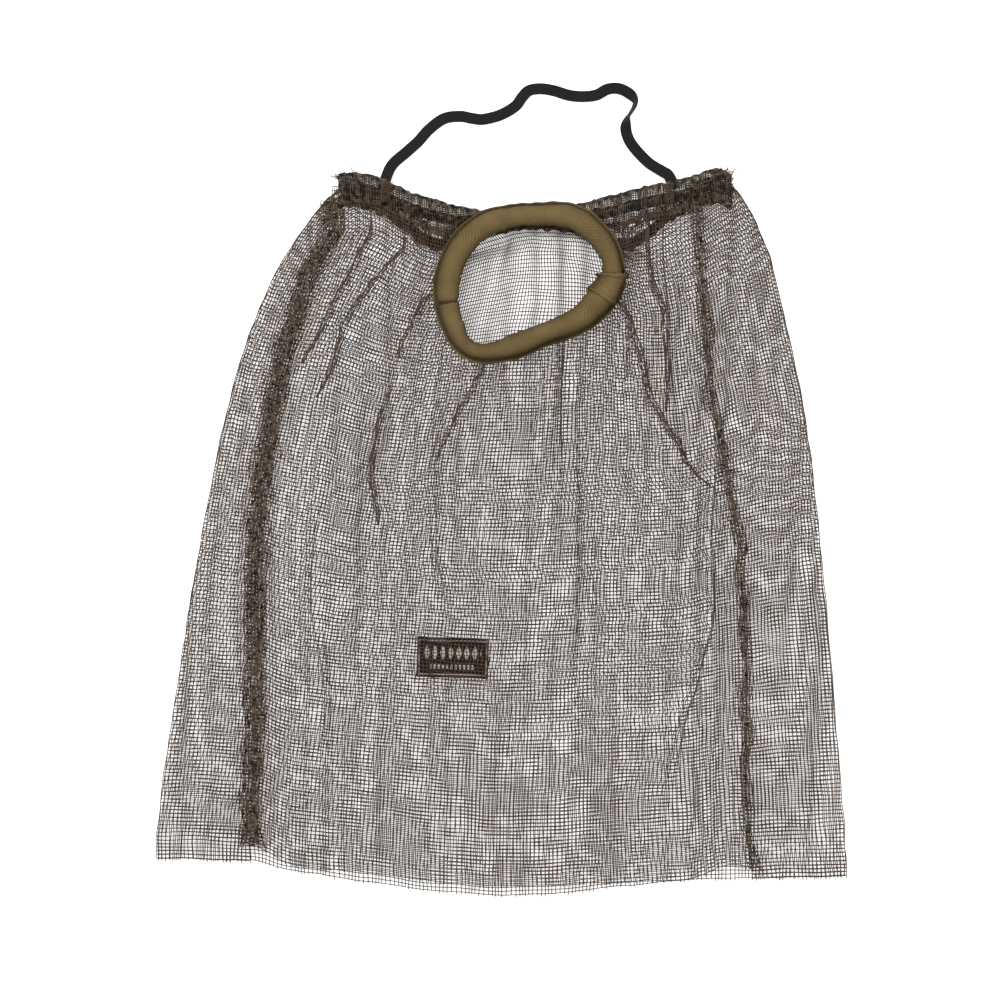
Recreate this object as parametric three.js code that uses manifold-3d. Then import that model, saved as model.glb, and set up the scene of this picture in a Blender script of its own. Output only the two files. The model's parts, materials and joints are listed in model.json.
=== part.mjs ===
// A net head veil laid flat on its back: two panels of open square netting sewn into a tube, gathered at the
// crown by an elastic that runs in a casing and comes out as a loop, with a padded face ring in the front.
// Millimetres. +X to the right, +Y from hem to crown, +Z up from the surface that the veil lies on.
import * as THREE from 'three';
import { mergeVertices } from 'three/addons/utils/BufferGeometryUtils.js';
import Module from 'manifold-3d';

const wasm = await Module();
wasm.setup();

// ---------------------------------------------------------------- driving dimensions
const HALF_LENGTH = 259;        // crown corner to centre, and centre to hem
const HALF_WIDTH = 247;         // centre to the side fold at the hem
const FOLD_Y = 0;               // line across the veil that the skirt is turned up about
const NET = 1.2;                // netting, from the top of one yarn to the bottom of the crossing one
const LOFT = 9;                 // height of the front layer over the surface
const SIDE_LOFT = 5;            // height of the front layer where it turns over at the sides
const GAP = 0.3;                // clearance between touching pieces
const GATHER_GAP = 2.5;         // clearance from a casing's curved lower edge to the netting below it

const SEAM_WIDTH = 16;          // lapped side seam
const SEAM_THICK = 1.6;
const THREAD = 0.6;             // sewing thread

const CASING_DEPTH = 24;        // the gathered tunnel at the crown, top to bottom
const CASING_WALL = 0.8;
const CASING_LEFT = -116;       // its two ends
const CASING_RIGHT = 163;
const CASING_HIGH = 3.4;
const ELASTIC_WIDTH = 8;
const ELASTIC_THICK = 1.2;

const RING_ACROSS = 116;        // the face ring, along the middle of its padding
const RING_WIDTH = 17;          // the padding, across and high
const RING_HIGH = 13;
const RING_WALL = 1.2;
const RING_FLANGE = 2.5;        // how far its sewn flange shows outside it
const FLANGE_THICK = 1.2;
const RING_LAP = 3.5;           // how far the netting reaches in under the ring
const RING_SINK = 0.4;          // how far the ring's underside sits below the top of the netting
const LAP_LENGTH = 10;          // where the two ends of the ring's cover overlap
const TACK_LENGTH = 3;

const LABEL = [51, 28.5, 0.8];
const LABEL_AT = [-35, -89.4];
const LABEL_TURN = 0.028;       // radians
const STRAP_TAB = [6, 13, 1];

// ---------------------------------------------------------------- outlines
// A smooth value that passes through a few (place, value) pairs, in rising order of place.
function through(pairs) {
  const curve = new THREE.CubicInterpolant(pairs.map((p) => p[0]), pairs.map((p) => p[1]), 1);
  return (place) => curve.evaluate(place)[0];
}

// The same for an outline given as shares of the half length and the half width.
const outline = (pairs) => through(pairs.map(([y, x]) => [y * HALF_LENGTH, x * HALF_WIDTH]));
const leftEdge = outline([[-1, -1], [-0.9, -1], [-0.41, -0.931], [-0.13, -0.885], [0.44, -0.761],
  [0.62, -0.692], [0.77, -0.615], [0.89, -0.53]]);
const rightEdge = outline([[-1, 1], [-0.95, 1], [-0.46, 0.962], [-0.08, 0.925], [0.36, 0.87],
  [0.64, 0.806], [0.78, 0.769], [0.89, 0.713]]);
const leftSeam = outline([[-1, -0.729], [-0.46, -0.713], [0.03, -0.704], [0.56, -0.615], [0.77, -0.543],
  [0.89, -0.478]]);
const rightSeam = outline([[-1, 0.737], [-0.73, 0.704], [-0.3, 0.7], [0.03, 0.672], [0.42, 0.599],
  [0.64, 0.583], [0.89, 0.559]]);
const hemShares = [[-1, -0.896], [-0.729, -0.903], [-0.559, -0.938], [0, -1], [0.53, -0.957], [1, -0.946]];
const hem = through(hemShares.map(([x, y]) => [x * HALF_WIDTH, y * HALF_LENGTH]));
const SIDE_TOP = HALF_LENGTH - 28;      // where the side folds start, under the ends of the casings

// A casing's top edge: the share of the way along it, and how far it hangs below its right corner.
const crownLine = (pairs) => through(pairs.map(([share, drop]) => (
  [THREE.MathUtils.lerp(CASING_LEFT, CASING_RIGHT, share), HALF_LENGTH - drop])));
const frontCrown = crownLine([[0, 4], [0.075, 4], [0.161, 14.5], [0.28, 25.5], [0.487, 32], [0.649, 23],
  [0.781, 13], [0.907, 5.5], [0.953, 0], [1, 4]]);
const backCrown = crownLine([[0, 4], [0.115, 16], [0.247, 42], [0.38, 35], [0.487, 32], [0.62, 33],
  [0.742, 42], [0.839, 22], [0.953, 5], [1, 4]]);

// The line along the middle of the face ring, clockwise from its top, about the middle of the opening.
const RING_AT = [20, HALF_LENGTH - 83];
const ringShape = [[2, 48], [28, 47], [46, 35], [56, 20], [57.5, 4], [48.5, -11], [33, -25], [10, -34.5],
  [-13, -43.5], [-34, -48], [-47, -42], [-53.5, -29.5], [-57.5, -15], [-58, 0], [-53.5, 16], [-45, 30],
  [-31, 41.5], [-15, 46.5]];
const ringScale = RING_ACROSS / (2 * 58);
const ringLine = new THREE.CatmullRomCurve3(ringShape.map(([x, y]) => (
  new THREE.Vector3(RING_AT[0] + x * ringScale, RING_AT[1] + y * ringScale, 0))), true, 'centripetal');
const LAP_AT = 0.268;           // places on the ring line, from its first point
const TACK_AT = 0.705;

const STRAP = [
  [-82.6, 252, 5.6], [-78.1, 262, 3], [-68.3, 271, 1.2], [-60, 278.5, 1], [-51.8, 287.5, 1], [-41.2, 295, 1],
  [-29.7, 296.6, 1], [-21.6, 295.2, 1], [-13.4, 294.5, 1], [-1, 297.7, 1], [9.6, 303.9, 1], [14.5, 310.4, 1],
  [19.4, 315, 1], [27.6, 316.3, 1], [37.1, 314.9, 1], [47.2, 311.8, 1], [57.2, 310.7, 1], [67.2, 311.8, 1],
  [75.3, 315.9, 1], [83.2, 316.4, 1], [90.2, 313.3, 1], [94.7, 307.8, 1], [94.4, 303.6, 1], [91.7, 298.8, 1],
  [89, 294.3, 1], [88.4, 286.8, 1], [91.2, 278.7, 1.2], [97.2, 270.8, 1.6], [105.2, 262.8, 2.6], [114.3, 257, 4.4],
  [119, 253.4, 5.6],
];

// ---------------------------------------------------------------- colours
const netBrown = new THREE.Color(0.16, 0.13, 0.11);
const threadBlack = new THREE.Color(0.05, 0.045, 0.04);
const elasticBlack = new THREE.Color(0.03, 0.03, 0.032);
const twillOlive = new THREE.Color(0.26, 0.2, 0.12);
const foamGrey = new THREE.Color(0.6, 0.58, 0.52);
const labelBrown = new THREE.Color(0.1, 0.08, 0.07);

const veil = new THREE.Group();
const lerp = THREE.MathUtils.lerp;

function add(name, geometry, color, roughness = 0.9) {
  const mesh = new THREE.Mesh(geometry, new THREE.MeshStandardMaterial({ color, roughness, metalness: 0 }));
  mesh.name = name;
  veil.add(mesh);
  return mesh;
}

// ---------------------------------------------------------------- shaping tools
// Moves every corner of a geometry to place(corner), which changes and returns it.
function moved(geometry, place) {
  const corners = geometry.attributes.position;
  const corner = new THREE.Vector3();
  for (let i = 0; i < corners.count; i += 1) {
    place(corner.fromBufferAttribute(corners, i));
    corners.setXYZ(i, corner.x, corner.y, corner.z);
  }
  return geometry;
}

// A closed slab of across by down cells. place(u, v, side, corner) sets each corner: u goes from 0 to 1
// across, v from 0 to 1 down, and side is -0.5 on its underside and 0.5 on top.
function slab(across, down, place) {
  const box = new THREE.BoxGeometry(1, 1, 1, across, down, 1);
  return moved(box, (corner) => place(corner.x + 0.5, 0.5 - corner.y, corner.z, corner));
}

// A closed body whose section, a list of (outwards, up) pairs, is carried round the ring line.
const RING_STEPS = 54;
function aroundRing(section) {
  const centre = 4 * RING_WIDTH;
  const profile = [...section, section[0]].reverse().map(([out, up]) => new THREE.Vector2(centre + out, up));
  return moved(new THREE.LatheGeometry(profile, RING_STEPS), (corner) => {
    const turn = Math.round((Math.atan2(corner.x, corner.z) / (2 * Math.PI) + 1) * RING_STEPS) % RING_STEPS;
    const [x, y] = besideRing(turn / RING_STEPS, Math.hypot(corner.x, corner.z) - centre);
    corner.set(x, y, corner.y);
  });
}

// The point at that share of the ring line's length and that far outside it.
function besideRing(share, out) {
  const at = ringLine.getPointAt(share);
  const along = ringLine.getTangentAt(share);
  return [at.x - along.y * out, at.y + along.x * out];
}

function manifold(geometry) {
  const bare = geometry.clone();
  bare.deleteAttribute('normal');
  bare.deleteAttribute('uv');
  const welded = mergeVertices(bare, 1e-4);
  return new wasm.Manifold(new wasm.Mesh({
    numProp: 3,
    vertProperties: new Float32Array(welded.attributes.position.array),
    triVerts: new Uint32Array(welded.index.array),
  }));
}

function geometryOf(solid) {
  const mesh = solid.getMesh();
  const geometry = new THREE.BufferGeometry();
  geometry.setAttribute('position', new THREE.BufferAttribute(new Float32Array(mesh.vertProperties), 3));
  geometry.setIndex(new THREE.BufferAttribute(new Uint32Array(mesh.triVerts), 1));
  return geometry;
}

// ---------------------------------------------------------------- the two layers
// The middle of the front layer's thickness over the surface, level in the middle and lower at the sides.
const SIDE_SLOPE = 0.2;         // the share of the width over which it climbs
function frontHeight(x, y) {
  const share = (x - leftEdge(y)) / (rightEdge(y) - leftEdge(y));
  const climb = THREE.MathUtils.smoothstep(Math.min(share, 1 - share), 0, SIDE_SLOPE);
  return lerp(SIDE_LOFT, LOFT, climb);
}

// The two lengths that the tube is divided into at the fold line: the y of a row's ends, and of any point on it.
const upper = {
  name: 'upper',
  rows: 12,
  sideY: (v) => lerp(SIDE_TOP, FOLD_Y + GAP / 2, v),
  rowY: (crown, topX, x, v) => lerp(crown(topX) - CASING_DEPTH - GATHER_GAP, FOLD_Y + GAP / 2, v),
};
const lower = {
  name: 'lower',
  rows: 9,
  sideY: (v) => lerp(FOLD_Y - GAP / 2, hem(-HALF_WIDTH), v),
  rowY: (crown, topX, x, v) => lerp(FOLD_Y - GAP / 2, hem(x), v),
};

function frontPanel(length) {
  const across = (u, v) => {
    const y = length.sideY(v);
    return lerp(leftSeam(y) + GAP, rightSeam(y) - GAP, u);
  };
  return slab(16, length.rows, (u, v, side, corner) => {
    const x = across(u, v);
    const y = length.rowY(frontCrown, across(u, 0), x, v);
    corner.set(x, y, frontHeight(x, length.sideY(v)) + side * NET);
  });
}

// The back panel is wider: its sides turn over to the front and end under the two seams. Its section is a line
// from the left seam round the left fold, along the back and round the right fold to the right seam.
const BACK_STEPS = 20;
function backLine(y) {
  const turn = (SIDE_LOFT - NET / 2) / 2;
  const line = [];
  const strip = (seam, edge) => [0, 0.35, 0.7].map((share) => {
    const x = lerp(seam, edge, share);
    return { x, z: frontHeight(x, y), front: true };
  });
  const fold = (edge, inwards) => [0, 45, 90, 135, 180].map((degrees) => {
    const angle = THREE.MathUtils.degToRad(degrees);
    return {
      x: edge + inwards * (NET / 2 + turn - turn * Math.sin(angle)),
      z: NET / 2 + turn + turn * Math.cos(angle),
      front: degrees < 90,
    };
  });
  const left = leftEdge(y);
  const right = rightEdge(y);
  line.push(...strip(leftSeam(y) - GAP, left + 2 * turn), ...fold(left, 1));
  for (let step = 1; step < BACK_STEPS; step += 1) {
    line.push({ x: lerp(left + 2 * turn, right - 2 * turn, step / BACK_STEPS), z: NET / 2, front: false });
  }
  line.push(...fold(right, -1).reverse(), ...strip(rightSeam(y) + GAP, right - 2 * turn).reverse());
  return line;
}

function backPanel(length) {
  const top = backLine(length.sideY(0));
  return slab(top.length - 1, length.rows, (u, v, side, corner) => {
    const line = backLine(length.sideY(v));
    const i = Math.round(u * (line.length - 1));
    const before = line[Math.max(i - 1, 0)];
    const after = line[Math.min(i + 1, line.length - 1)];
    const run = new THREE.Vector2(after.x - before.x, after.z - before.z).normalize();
    const x = line[i].x - run.y * side * NET;
    const crown = line[i].front ? frontCrown : backCrown;
    const y = length.rowY(crown, top[i].x, x, v);
    corner.set(x, y, line[i].z + run.x * side * NET);
  });
}

// A band that runs down a seam, at that height over the netting.
function seamBand(seam, width, thick, over, length) {
  return slab(2, length.rows * 2, (u, v, side, corner) => {
    const y = length.sideY(v);
    const middle = seam(y);
    const x = middle + (u - 0.5) * width;
    const low = length.rowY(frontCrown, seam(length.sideY(0)), middle, v);
    corner.set(x, low, frontHeight(x, y) + NET / 2 + over + (side + 0.5) * thick);
  });
}

// The face opening follows the outside of the ring.
const openingLine = Array.from({ length: RING_STEPS }, (_, i) => (
  new THREE.Vector2(...besideRing(i / RING_STEPS, RING_WIDTH / 2 - RING_LAP))));
const opening = manifold(new THREE.ExtrudeGeometry(new THREE.Shape(openingLine),
  { depth: 4 * NET, steps: 1, bevelEnabled: false }).translate(0, 0, LOFT - 2 * NET));

const SEAM_OVER = 3 * GAP;      // the lapped seam clears the netting where it slopes
for (const length of [upper, lower]) {
  const front = frontPanel(length);
  const cut = length === upper ? geometryOf(manifold(front).subtract(opening)) : front;
  add(`front_net_${length.name}`, cut, netBrown);
  add(`back_net_${length.name}`, backPanel(length), netBrown);
  for (const [side, seam] of [['left', leftSeam], ['right', rightSeam]]) {
    const width = side === 'left' ? SEAM_WIDTH : SEAM_WIDTH / 2;
    add(`${side}_seam_${length.name}`, seamBand(seam, width, SEAM_THICK, SEAM_OVER, length), netBrown);
    const threadOver = SEAM_OVER + SEAM_THICK + GAP;
    add(`${side}_seam_thread_${length.name}`, seamBand(seam, THREAD, THREAD, threadOver, length), threadBlack);
  }
}

// ---------------------------------------------------------------- casings, elastic and strap
// A body of that (down from the crown, up) outline carried along a casing from one end to the other.
function alongCasing(shape, crown, bottom, inset = 0) {
  const steps = 24;
  const long = CASING_RIGHT - CASING_LEFT - 2 * inset;
  const bar = new THREE.ExtrudeGeometry(shape, { depth: long, steps, bevelEnabled: false });
  return moved(bar, (corner) => {
    const x = CASING_LEFT + inset + corner.z;
    corner.set(x, crown(x) - CASING_DEPTH + corner.x, bottom + corner.y);
  });
}

function roundBar(low, high, bottom, top) {
  const shape = new THREE.Shape();
  const round = (top - bottom) / 2;
  shape.moveTo(low + round, bottom);
  shape.lineTo(high - round, bottom);
  shape.absarc(high - round, bottom + round, round, -Math.PI / 2, Math.PI / 2);
  shape.lineTo(low + round, top);
  shape.absarc(low + round, bottom + round, round, Math.PI / 2, Math.PI * 1.5);
  return shape;
}

function polygonOf(shape, divisions) {
  return new THREE.Shape(shape.getPoints(divisions).slice(0, -1));
}

function casing(name, crown, bottom) {
  const tunnel = polygonOf(roundBar(0, CASING_DEPTH, 0, CASING_HIGH), 3);
  const inside = roundBar(CASING_WALL, CASING_DEPTH - CASING_WALL, CASING_WALL, CASING_HIGH - CASING_WALL);
  tunnel.holes.push(new THREE.Path(inside.getPoints(3).slice(0, -1)));
  add(`${name}_casing`, alongCasing(tunnel, crown, bottom), netBrown);

  const middle = CASING_DEPTH / 2;
  const half = ELASTIC_WIDTH / 2;
  const elastic = new THREE.Shape();
  elastic.moveTo(middle - half, 0);
  elastic.lineTo(middle + half, 0);
  elastic.lineTo(middle + half, ELASTIC_THICK);
  elastic.lineTo(middle - half, ELASTIC_THICK);
  const elasticBottom = bottom + (CASING_HIGH - ELASTIC_THICK) / 2;
  add(`${name}_elastic`, alongCasing(elastic, crown, elasticBottom, 2), elasticBlack, 0.8);

  const thread = new THREE.Shape();
  thread.moveTo(4, 0);
  thread.lineTo(4 + THREAD, 0);
  thread.lineTo(4 + THREAD, THREAD);
  thread.lineTo(4, THREAD);
  add(`${name}_casing_thread`, alongCasing(thread, crown, bottom + CASING_HIGH + GAP, 1), threadBlack);
}

const stacked = CASING_HIGH + GAP + THREAD + GAP;   // a casing with its row of stitches
casing('back', backCrown, 0);
casing('front', frontCrown, stacked);

// A folded tab of netting is sewn over the casing where each end of the strap goes in.
for (const [side, x] of [['left', STRAP[0][0]], ['right', STRAP.at(-1)[0]]]) {
  const [wide, long, thick] = STRAP_TAB;
  const tab = add(`strap_tab_${side}`, new THREE.BoxGeometry(wide, long, thick), netBrown);
  tab.position.set(x, frontCrown(x) - long / 2 - 2, stacked + CASING_HIGH + GAP + thick / 2);
}

// The strap is flat: its section is wide across the route and thin upwards.
function strapAlong(points) {
  const route = new THREE.CatmullRomCurve3(points.map((p) => new THREE.Vector3(...p)), false, 'centripetal');
  const section = new THREE.Shape();
  const half = ELASTIC_WIDTH / 2;
  const thick = ELASTIC_THICK / 2;
  section.moveTo(-half, -thick / 2);
  for (const [across, up] of [[-half + thick, -thick], [half - thick, -thick], [half, -thick / 2],
    [half, thick / 2], [half - thick, thick], [-half + thick, thick], [-half, thick / 2]]) {
    section.lineTo(across, up);
  }
  const steps = 64;
  const bar = new THREE.ExtrudeGeometry(section, { depth: 1, steps, bevelEnabled: false });
  return moved(bar, (corner) => {
    const at = route.getPointAt(corner.z);
    const along = route.getTangentAt(corner.z);
    const flat = Math.hypot(along.x, along.y);
    corner.set(at.x - (along.y / flat) * corner.x, at.y + (along.x / flat) * corner.x, at.z + corner.y);
  });
}
add('elastic_strap', strapAlong(STRAP), elasticBlack, 0.8);

// ---------------------------------------------------------------- the padded face ring
// It lies over the front casing, and its flange is sewn down on the front netting.
const netTop = LOFT + NET / 2;
const flangeBottom = netTop + GAP;
const flangeTop = flangeBottom + FLANGE_THICK;
const ringUp = Math.max(2 * stacked, netTop - RING_SINK) + RING_HIGH / 2;
const half = RING_WIDTH / 2;
const ellipse = (wide, high, from, to, steps) => Array.from({ length: steps + 1 }, (_, i) => {
  const angle = lerp(from, to, i / steps);
  return [Math.cos(angle) * wide, ringUp + Math.sin(angle) * high];
});

// The cover is a strip of twill rolled round the padding. It stays open low on the outside, for the flange.
const turnTo = (up, high) => Math.asin(Math.max((up - ringUp) / high, -0.97));
const innerHigh = RING_HIGH / 2 - RING_WALL;
const lipTop = flangeTop + GAP;
const lipBottom = flangeBottom - GAP;
const fullTurn = 2 * Math.PI;
const outside = ellipse(half, RING_HIGH / 2,
  turnTo(lipTop, RING_HIGH / 2), fullTurn + turnTo(lipBottom, RING_HIGH / 2), 16);
const inside = ellipse(half - RING_WALL, innerHigh,
  fullTurn + turnTo(lipBottom, innerHigh), turnTo(lipTop, innerHigh), 12);
add('ring_cover', aroundRing([...outside, ...inside]), twillOlive);

const flangeIn = half * Math.cos(turnTo(lipBottom, RING_HIGH / 2)) + GAP;
const paddingWide = half - RING_WALL - GAP;
const paddingHigh = innerHigh - 2 * GAP;
add('ring_padding', aroundRing(ellipse(paddingWide, paddingHigh, 0, fullTurn, 10).slice(0, -1)), foamGrey);

add('ring_flange', aroundRing([
  [flangeIn, flangeBottom], [half + RING_FLANGE, flangeBottom],
  [half + RING_FLANGE, flangeTop], [flangeIn, flangeTop],
]), twillOlive);

const threadAt = half + RING_FLANGE - 2 * THREAD;
const threadUp = flangeTop + GAP;
add('ring_thread', aroundRing([
  [threadAt, threadUp], [threadAt + THREAD, threadUp],
  [threadAt + THREAD, threadUp + THREAD], [threadAt, threadUp + THREAD],
]), threadBlack);

// A saddle over the tube: the cover's overlapped end, or the tack that holds its crease.
function saddle(name, place, long, clear, thick, color) {
  const from = 0.18 * Math.PI;
  const to = 1.05 * Math.PI;
  const inner = ellipse(half + clear, RING_HIGH / 2 + clear, from, to, 12);
  const outer = ellipse(half + clear + thick, RING_HIGH / 2 + clear + thick, to, from, 12);
  const shape = new THREE.Shape([...inner, ...outer].map(([out, up]) => new THREE.Vector2(out, up)));
  const bar = new THREE.ExtrudeGeometry(shape, { depth: long, steps: 1, bevelEnabled: false });
  const at = ringLine.getPointAt(place);
  const along = ringLine.getTangentAt(place);
  const out = new THREE.Vector3(-along.y, along.x, 0);
  const up = new THREE.Vector3(0, 0, 1);
  const frame = new THREE.Matrix4().makeBasis(out, up, new THREE.Vector3().crossVectors(out, up));
  const mesh = add(name, bar.translate(0, 0, -long / 2), color);
  mesh.quaternion.setFromRotationMatrix(frame);
  mesh.position.copy(at);
}
saddle('ring_lap', LAP_AT, LAP_LENGTH, GAP + 0.9, RING_WALL, twillOlive);
saddle('ring_tack', TACK_AT, TACK_LENGTH, GAP + 0.2, THREAD, threadBlack);

// ---------------------------------------------------------------- label, sewn to the inside of the front
const netBottom = LOFT - NET / 2;
const label = add('label', new THREE.BoxGeometry(...LABEL), labelBrown);
label.position.set(...LABEL_AT, netBottom - GAP - LABEL[2] / 2);
label.rotation.z = -LABEL_TURN;

const EDGE_IN = 1.5;            // from the label's edge to its row of stitches
const frameShape = new THREE.Shape();
const corners = (inset) => [[-1, -1], [1, -1], [1, 1], [-1, 1]].map(([sx, sy]) => new THREE.Vector2(
  sx * (LABEL[0] / 2 - EDGE_IN - inset), sy * (LABEL[1] / 2 - EDGE_IN - inset)));
frameShape.setFromPoints(corners(0));
frameShape.holes.push(new THREE.Path(corners(THREAD)));
const labelThread = add('label_thread',
  new THREE.ExtrudeGeometry(frameShape, { depth: THREAD, steps: 1, bevelEnabled: false }), threadBlack);
labelThread.position.set(...LABEL_AT, netTop + GAP);
labelThread.rotation.z = -LABEL_TURN;

export default veil;
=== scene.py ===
# %% [markdown]
# # A net head veil, laid flat
# The veil is a tube of open square netting. An elastic in a casing gathers it at the crown and comes out as
# a loop, and a padded twill ring frames the face opening. The CAD solids settle where everything is and how
# it moves; this script gives every piece its real surface. Netting is the main lesson: it is built yarn by
# yarn, because what is seen of a net is mostly the gaps and the way two layers of it cross.

# %% Load the frame
import json
import math

import bmesh
import bpy
import numpy as np
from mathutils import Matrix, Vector


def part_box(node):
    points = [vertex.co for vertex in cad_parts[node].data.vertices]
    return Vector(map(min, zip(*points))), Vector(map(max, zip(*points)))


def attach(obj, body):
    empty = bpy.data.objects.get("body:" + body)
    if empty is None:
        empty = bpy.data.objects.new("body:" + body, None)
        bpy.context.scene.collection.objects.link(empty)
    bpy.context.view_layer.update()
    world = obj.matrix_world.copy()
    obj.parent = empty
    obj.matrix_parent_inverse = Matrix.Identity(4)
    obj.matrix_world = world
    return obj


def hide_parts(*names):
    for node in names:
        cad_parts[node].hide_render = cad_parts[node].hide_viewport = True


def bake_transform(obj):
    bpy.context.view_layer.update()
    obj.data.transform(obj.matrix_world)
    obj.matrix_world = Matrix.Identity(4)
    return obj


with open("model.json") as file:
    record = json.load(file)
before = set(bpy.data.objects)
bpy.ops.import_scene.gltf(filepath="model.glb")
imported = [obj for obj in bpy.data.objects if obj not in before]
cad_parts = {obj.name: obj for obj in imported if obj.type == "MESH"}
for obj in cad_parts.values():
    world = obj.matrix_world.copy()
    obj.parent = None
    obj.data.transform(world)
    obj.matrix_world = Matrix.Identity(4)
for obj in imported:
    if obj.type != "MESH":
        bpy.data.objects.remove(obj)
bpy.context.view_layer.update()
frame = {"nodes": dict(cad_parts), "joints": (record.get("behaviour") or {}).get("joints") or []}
MM = 0.001

# %% [markdown]
# ## Camera
# A flat lay is seen from straight above. A long lens some way up keeps the ring and the netting in the same
# scale, as a copy stand does. The camera looks a little above the middle of the net, so that the loop fits.

# %% Camera
LENS = 100
SENSOR = 36
VIEW_WIDTH = 714 * MM
VIEW_CENTRE = Vector((-1.4 * MM, 22.8 * MM, 0))

camera = bpy.data.objects.new("camera", bpy.data.cameras.new("camera"))
camera.data.lens = LENS
camera.data.sensor_width = SENSOR
camera.location = VIEW_CENTRE + Vector((0, 0, VIEW_WIDTH * LENS / SENSOR))
bpy.context.collection.objects.link(camera)
bpy.context.scene.camera = camera
print("camera height, m:", round(camera.location.z, 3))

# %% [markdown]
# ## Shader maths as Python
# A material that is worked out by nodes is hard to read as a list of nodes. This small class wraps a number
# socket, so that an expression on it adds the Math nodes. Everything else goes through one method, node().

# %% A number in a shader
SPECULAR = 0.12          # cloth mirrors little, and more than this would grey the blacks


class Number:
    def __init__(self, finish, socket):
        self.finish = finish
        self.socket = socket

    def maths(self, operation, first, second=None):
        values = {0: first} if second is None else {0: first, 1: second}
        return self.finish.node("ShaderNodeMath", {"operation": operation}, values).out()

    def __add__(self, other):
        return self.maths("ADD", self, other)

    def __radd__(self, other):
        return self.maths("ADD", other, self)

    def __sub__(self, other):
        return self.maths("SUBTRACT", self, other)

    def __rsub__(self, other):
        return self.maths("SUBTRACT", other, self)

    def __mul__(self, other):
        return self.maths("MULTIPLY", self, other)

    def __rmul__(self, other):
        return self.maths("MULTIPLY", other, self)

    def wave(self):
        """A smooth wave from 0 to 1, with one crest for each whole number."""
        return self.maths("SINE", self * (2 * math.pi)) * 0.5 + 0.5

    def over(self, edge, soft):
        """0 below edge, 1 above it, over a soft step."""
        return ((self - edge) * (1 / soft)).clamped()

    def clamped(self):
        return self.maths("MINIMUM", self.maths("MAXIMUM", self, 0.0), 1.0)

    def size(self):
        return self.maths("ABSOLUTE", self)


class Node:
    def __init__(self, finish, made):
        self.finish = finish
        self.made = made

    def out(self, name=0):
        return Number(self.finish, self.made.outputs[name])


class Finish:
    """A material under construction: node() adds any node, and shine() sets the surface."""

    def __init__(self, name):
        self.material = bpy.data.materials.new(name)
        self.material.use_nodes = True
        self.tree = self.material.node_tree
        self.surface = self.tree.nodes["Principled BSDF"]
        self.surface.inputs["Specular IOR Level"].default_value = SPECULAR

    def node(self, kind, settings=None, values=None):
        made = self.tree.nodes.new(kind)
        for key, value in (settings or {}).items():
            setattr(made, key, value)
        for key, value in (values or {}).items():
            self.feed(made.inputs[key], value)
        return Node(self, made)

    def feed(self, socket, value):
        if isinstance(value, Number):
            self.tree.links.new(value.socket, socket)
        else:
            socket.default_value = value

    def place(self, source="Object"):
        return self.node("ShaderNodeTexCoord").out(source)

    def noise(self, scale, detail=2.0):
        at = {"Vector": self.place(), "Scale": scale, "Detail": detail}
        return self.node("ShaderNodeTexNoise", {}, at).out(0)

    def uv(self):
        split = self.node("ShaderNodeSeparateXYZ", {}, {0: self.place("UV")})
        return split.out(0), split.out(1)

    def mix(self, amount, first, second):
        """A colour between two, each of them three numbers or another colour's output."""
        ends = [(*end, 1) if isinstance(end, tuple) else end for end in (first, second)]
        return self.node("ShaderNodeMix", {"data_type": "RGBA"}, {0: amount, 6: ends[0], 7: ends[1]}).out(2)

    def shine(self, color, rough, height=None, depth=0.0002, **plain):
        self.feed(self.surface.inputs["Base Color"], color)
        self.feed(self.surface.inputs["Roughness"], rough)
        for key, value in plain.items():
            self.surface.inputs[key.replace("_", " ")].default_value = value
        if height is not None:
            bump = self.node("ShaderNodeBump", {}, {"Height": height, "Distance": depth, "Strength": 1.0})
            self.feed(self.surface.inputs["Normal"], bump.out(0))
        return self.material


# %% [markdown]
# ## Finishes
# Netting yarn is a dark brown polyester with a slight gloss, so it reads black in shade and taupe where it
# catches the light. One flat brown would make the net look printed. Two noises, for patches along a yarn
# and for its fibres, let each yarn change as it goes; the taupe they mix in is partly the yarn's own tone
# and partly painted highlight. Where the netting is gathered or lapped, its finishes are shaded and lit
# copies with stronger patches: a near-black tone of painted shade, for its layers shading one another, and a
# tan tone of painted highlight. Object coordinates are metres, so a scale counts patches for each metre.

# %% Netting, thread and foam
BLOTCHES = 330.0
FIBRES = 2600.0
THREAD_PLIES = 3200.0
FOAM_CELLS = 900.0


def netting_finish(name, dark, light, patchy=0.65):
    """Yarn between two tones, the lighter partly painted highlight. The larger patchy is, the more the
    patches stand out.
    """
    finish = Finish(name)
    blotch = (finish.noise(BLOTCHES, 3.0) - 0.5) * (patchy * 1.6) + 0.32
    fibre = finish.noise(FIBRES)
    tone = (blotch + fibre * 0.5 - 0.06).clamped()
    color = finish.mix(tone, dark, light)
    return finish.shine(color, 0.62 - fibre * 0.25, fibre, 0.00012)


def thread_finish(name, dark, light):
    finish = Finish(name)
    ply = finish.noise(THREAD_PLIES, 1.0)
    return finish.shine(finish.mix(ply, dark, light), 0.7 - ply * 0.2, ply, 0.00008)


def foam_finish():
    finish = Finish("foam")
    cells = finish.node("ShaderNodeTexVoronoi", {}, {"Vector": finish.place(), "Scale": FOAM_CELLS}).out(0)
    return finish.shine(finish.mix(cells, (0.42, 0.4, 0.33), (0.66, 0.63, 0.54)), 0.95, cells, 0.0004)


netting = netting_finish("netting", (0.022, 0.012, 0.007), (0.13, 0.085, 0.058))
# the gathered and lapped finishes are painted shade in their near-black tone and painted highlight in their
# tan one
netting_gathered_painted_light = netting_finish("netting_gathered_painted_light", (0.002, 0.0015, 0.001), (0.13, 0.092, 0.062), 2.2)
netting_lapped_painted_light = netting_finish("netting_lapped_painted_light", (0.003, 0.002, 0.0015), (0.185, 0.132, 0.09), 2.2)
seam_thread = thread_finish("seam_thread", (0.02, 0.017, 0.014), (0.07, 0.058, 0.045))
foam = foam_finish()

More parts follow.
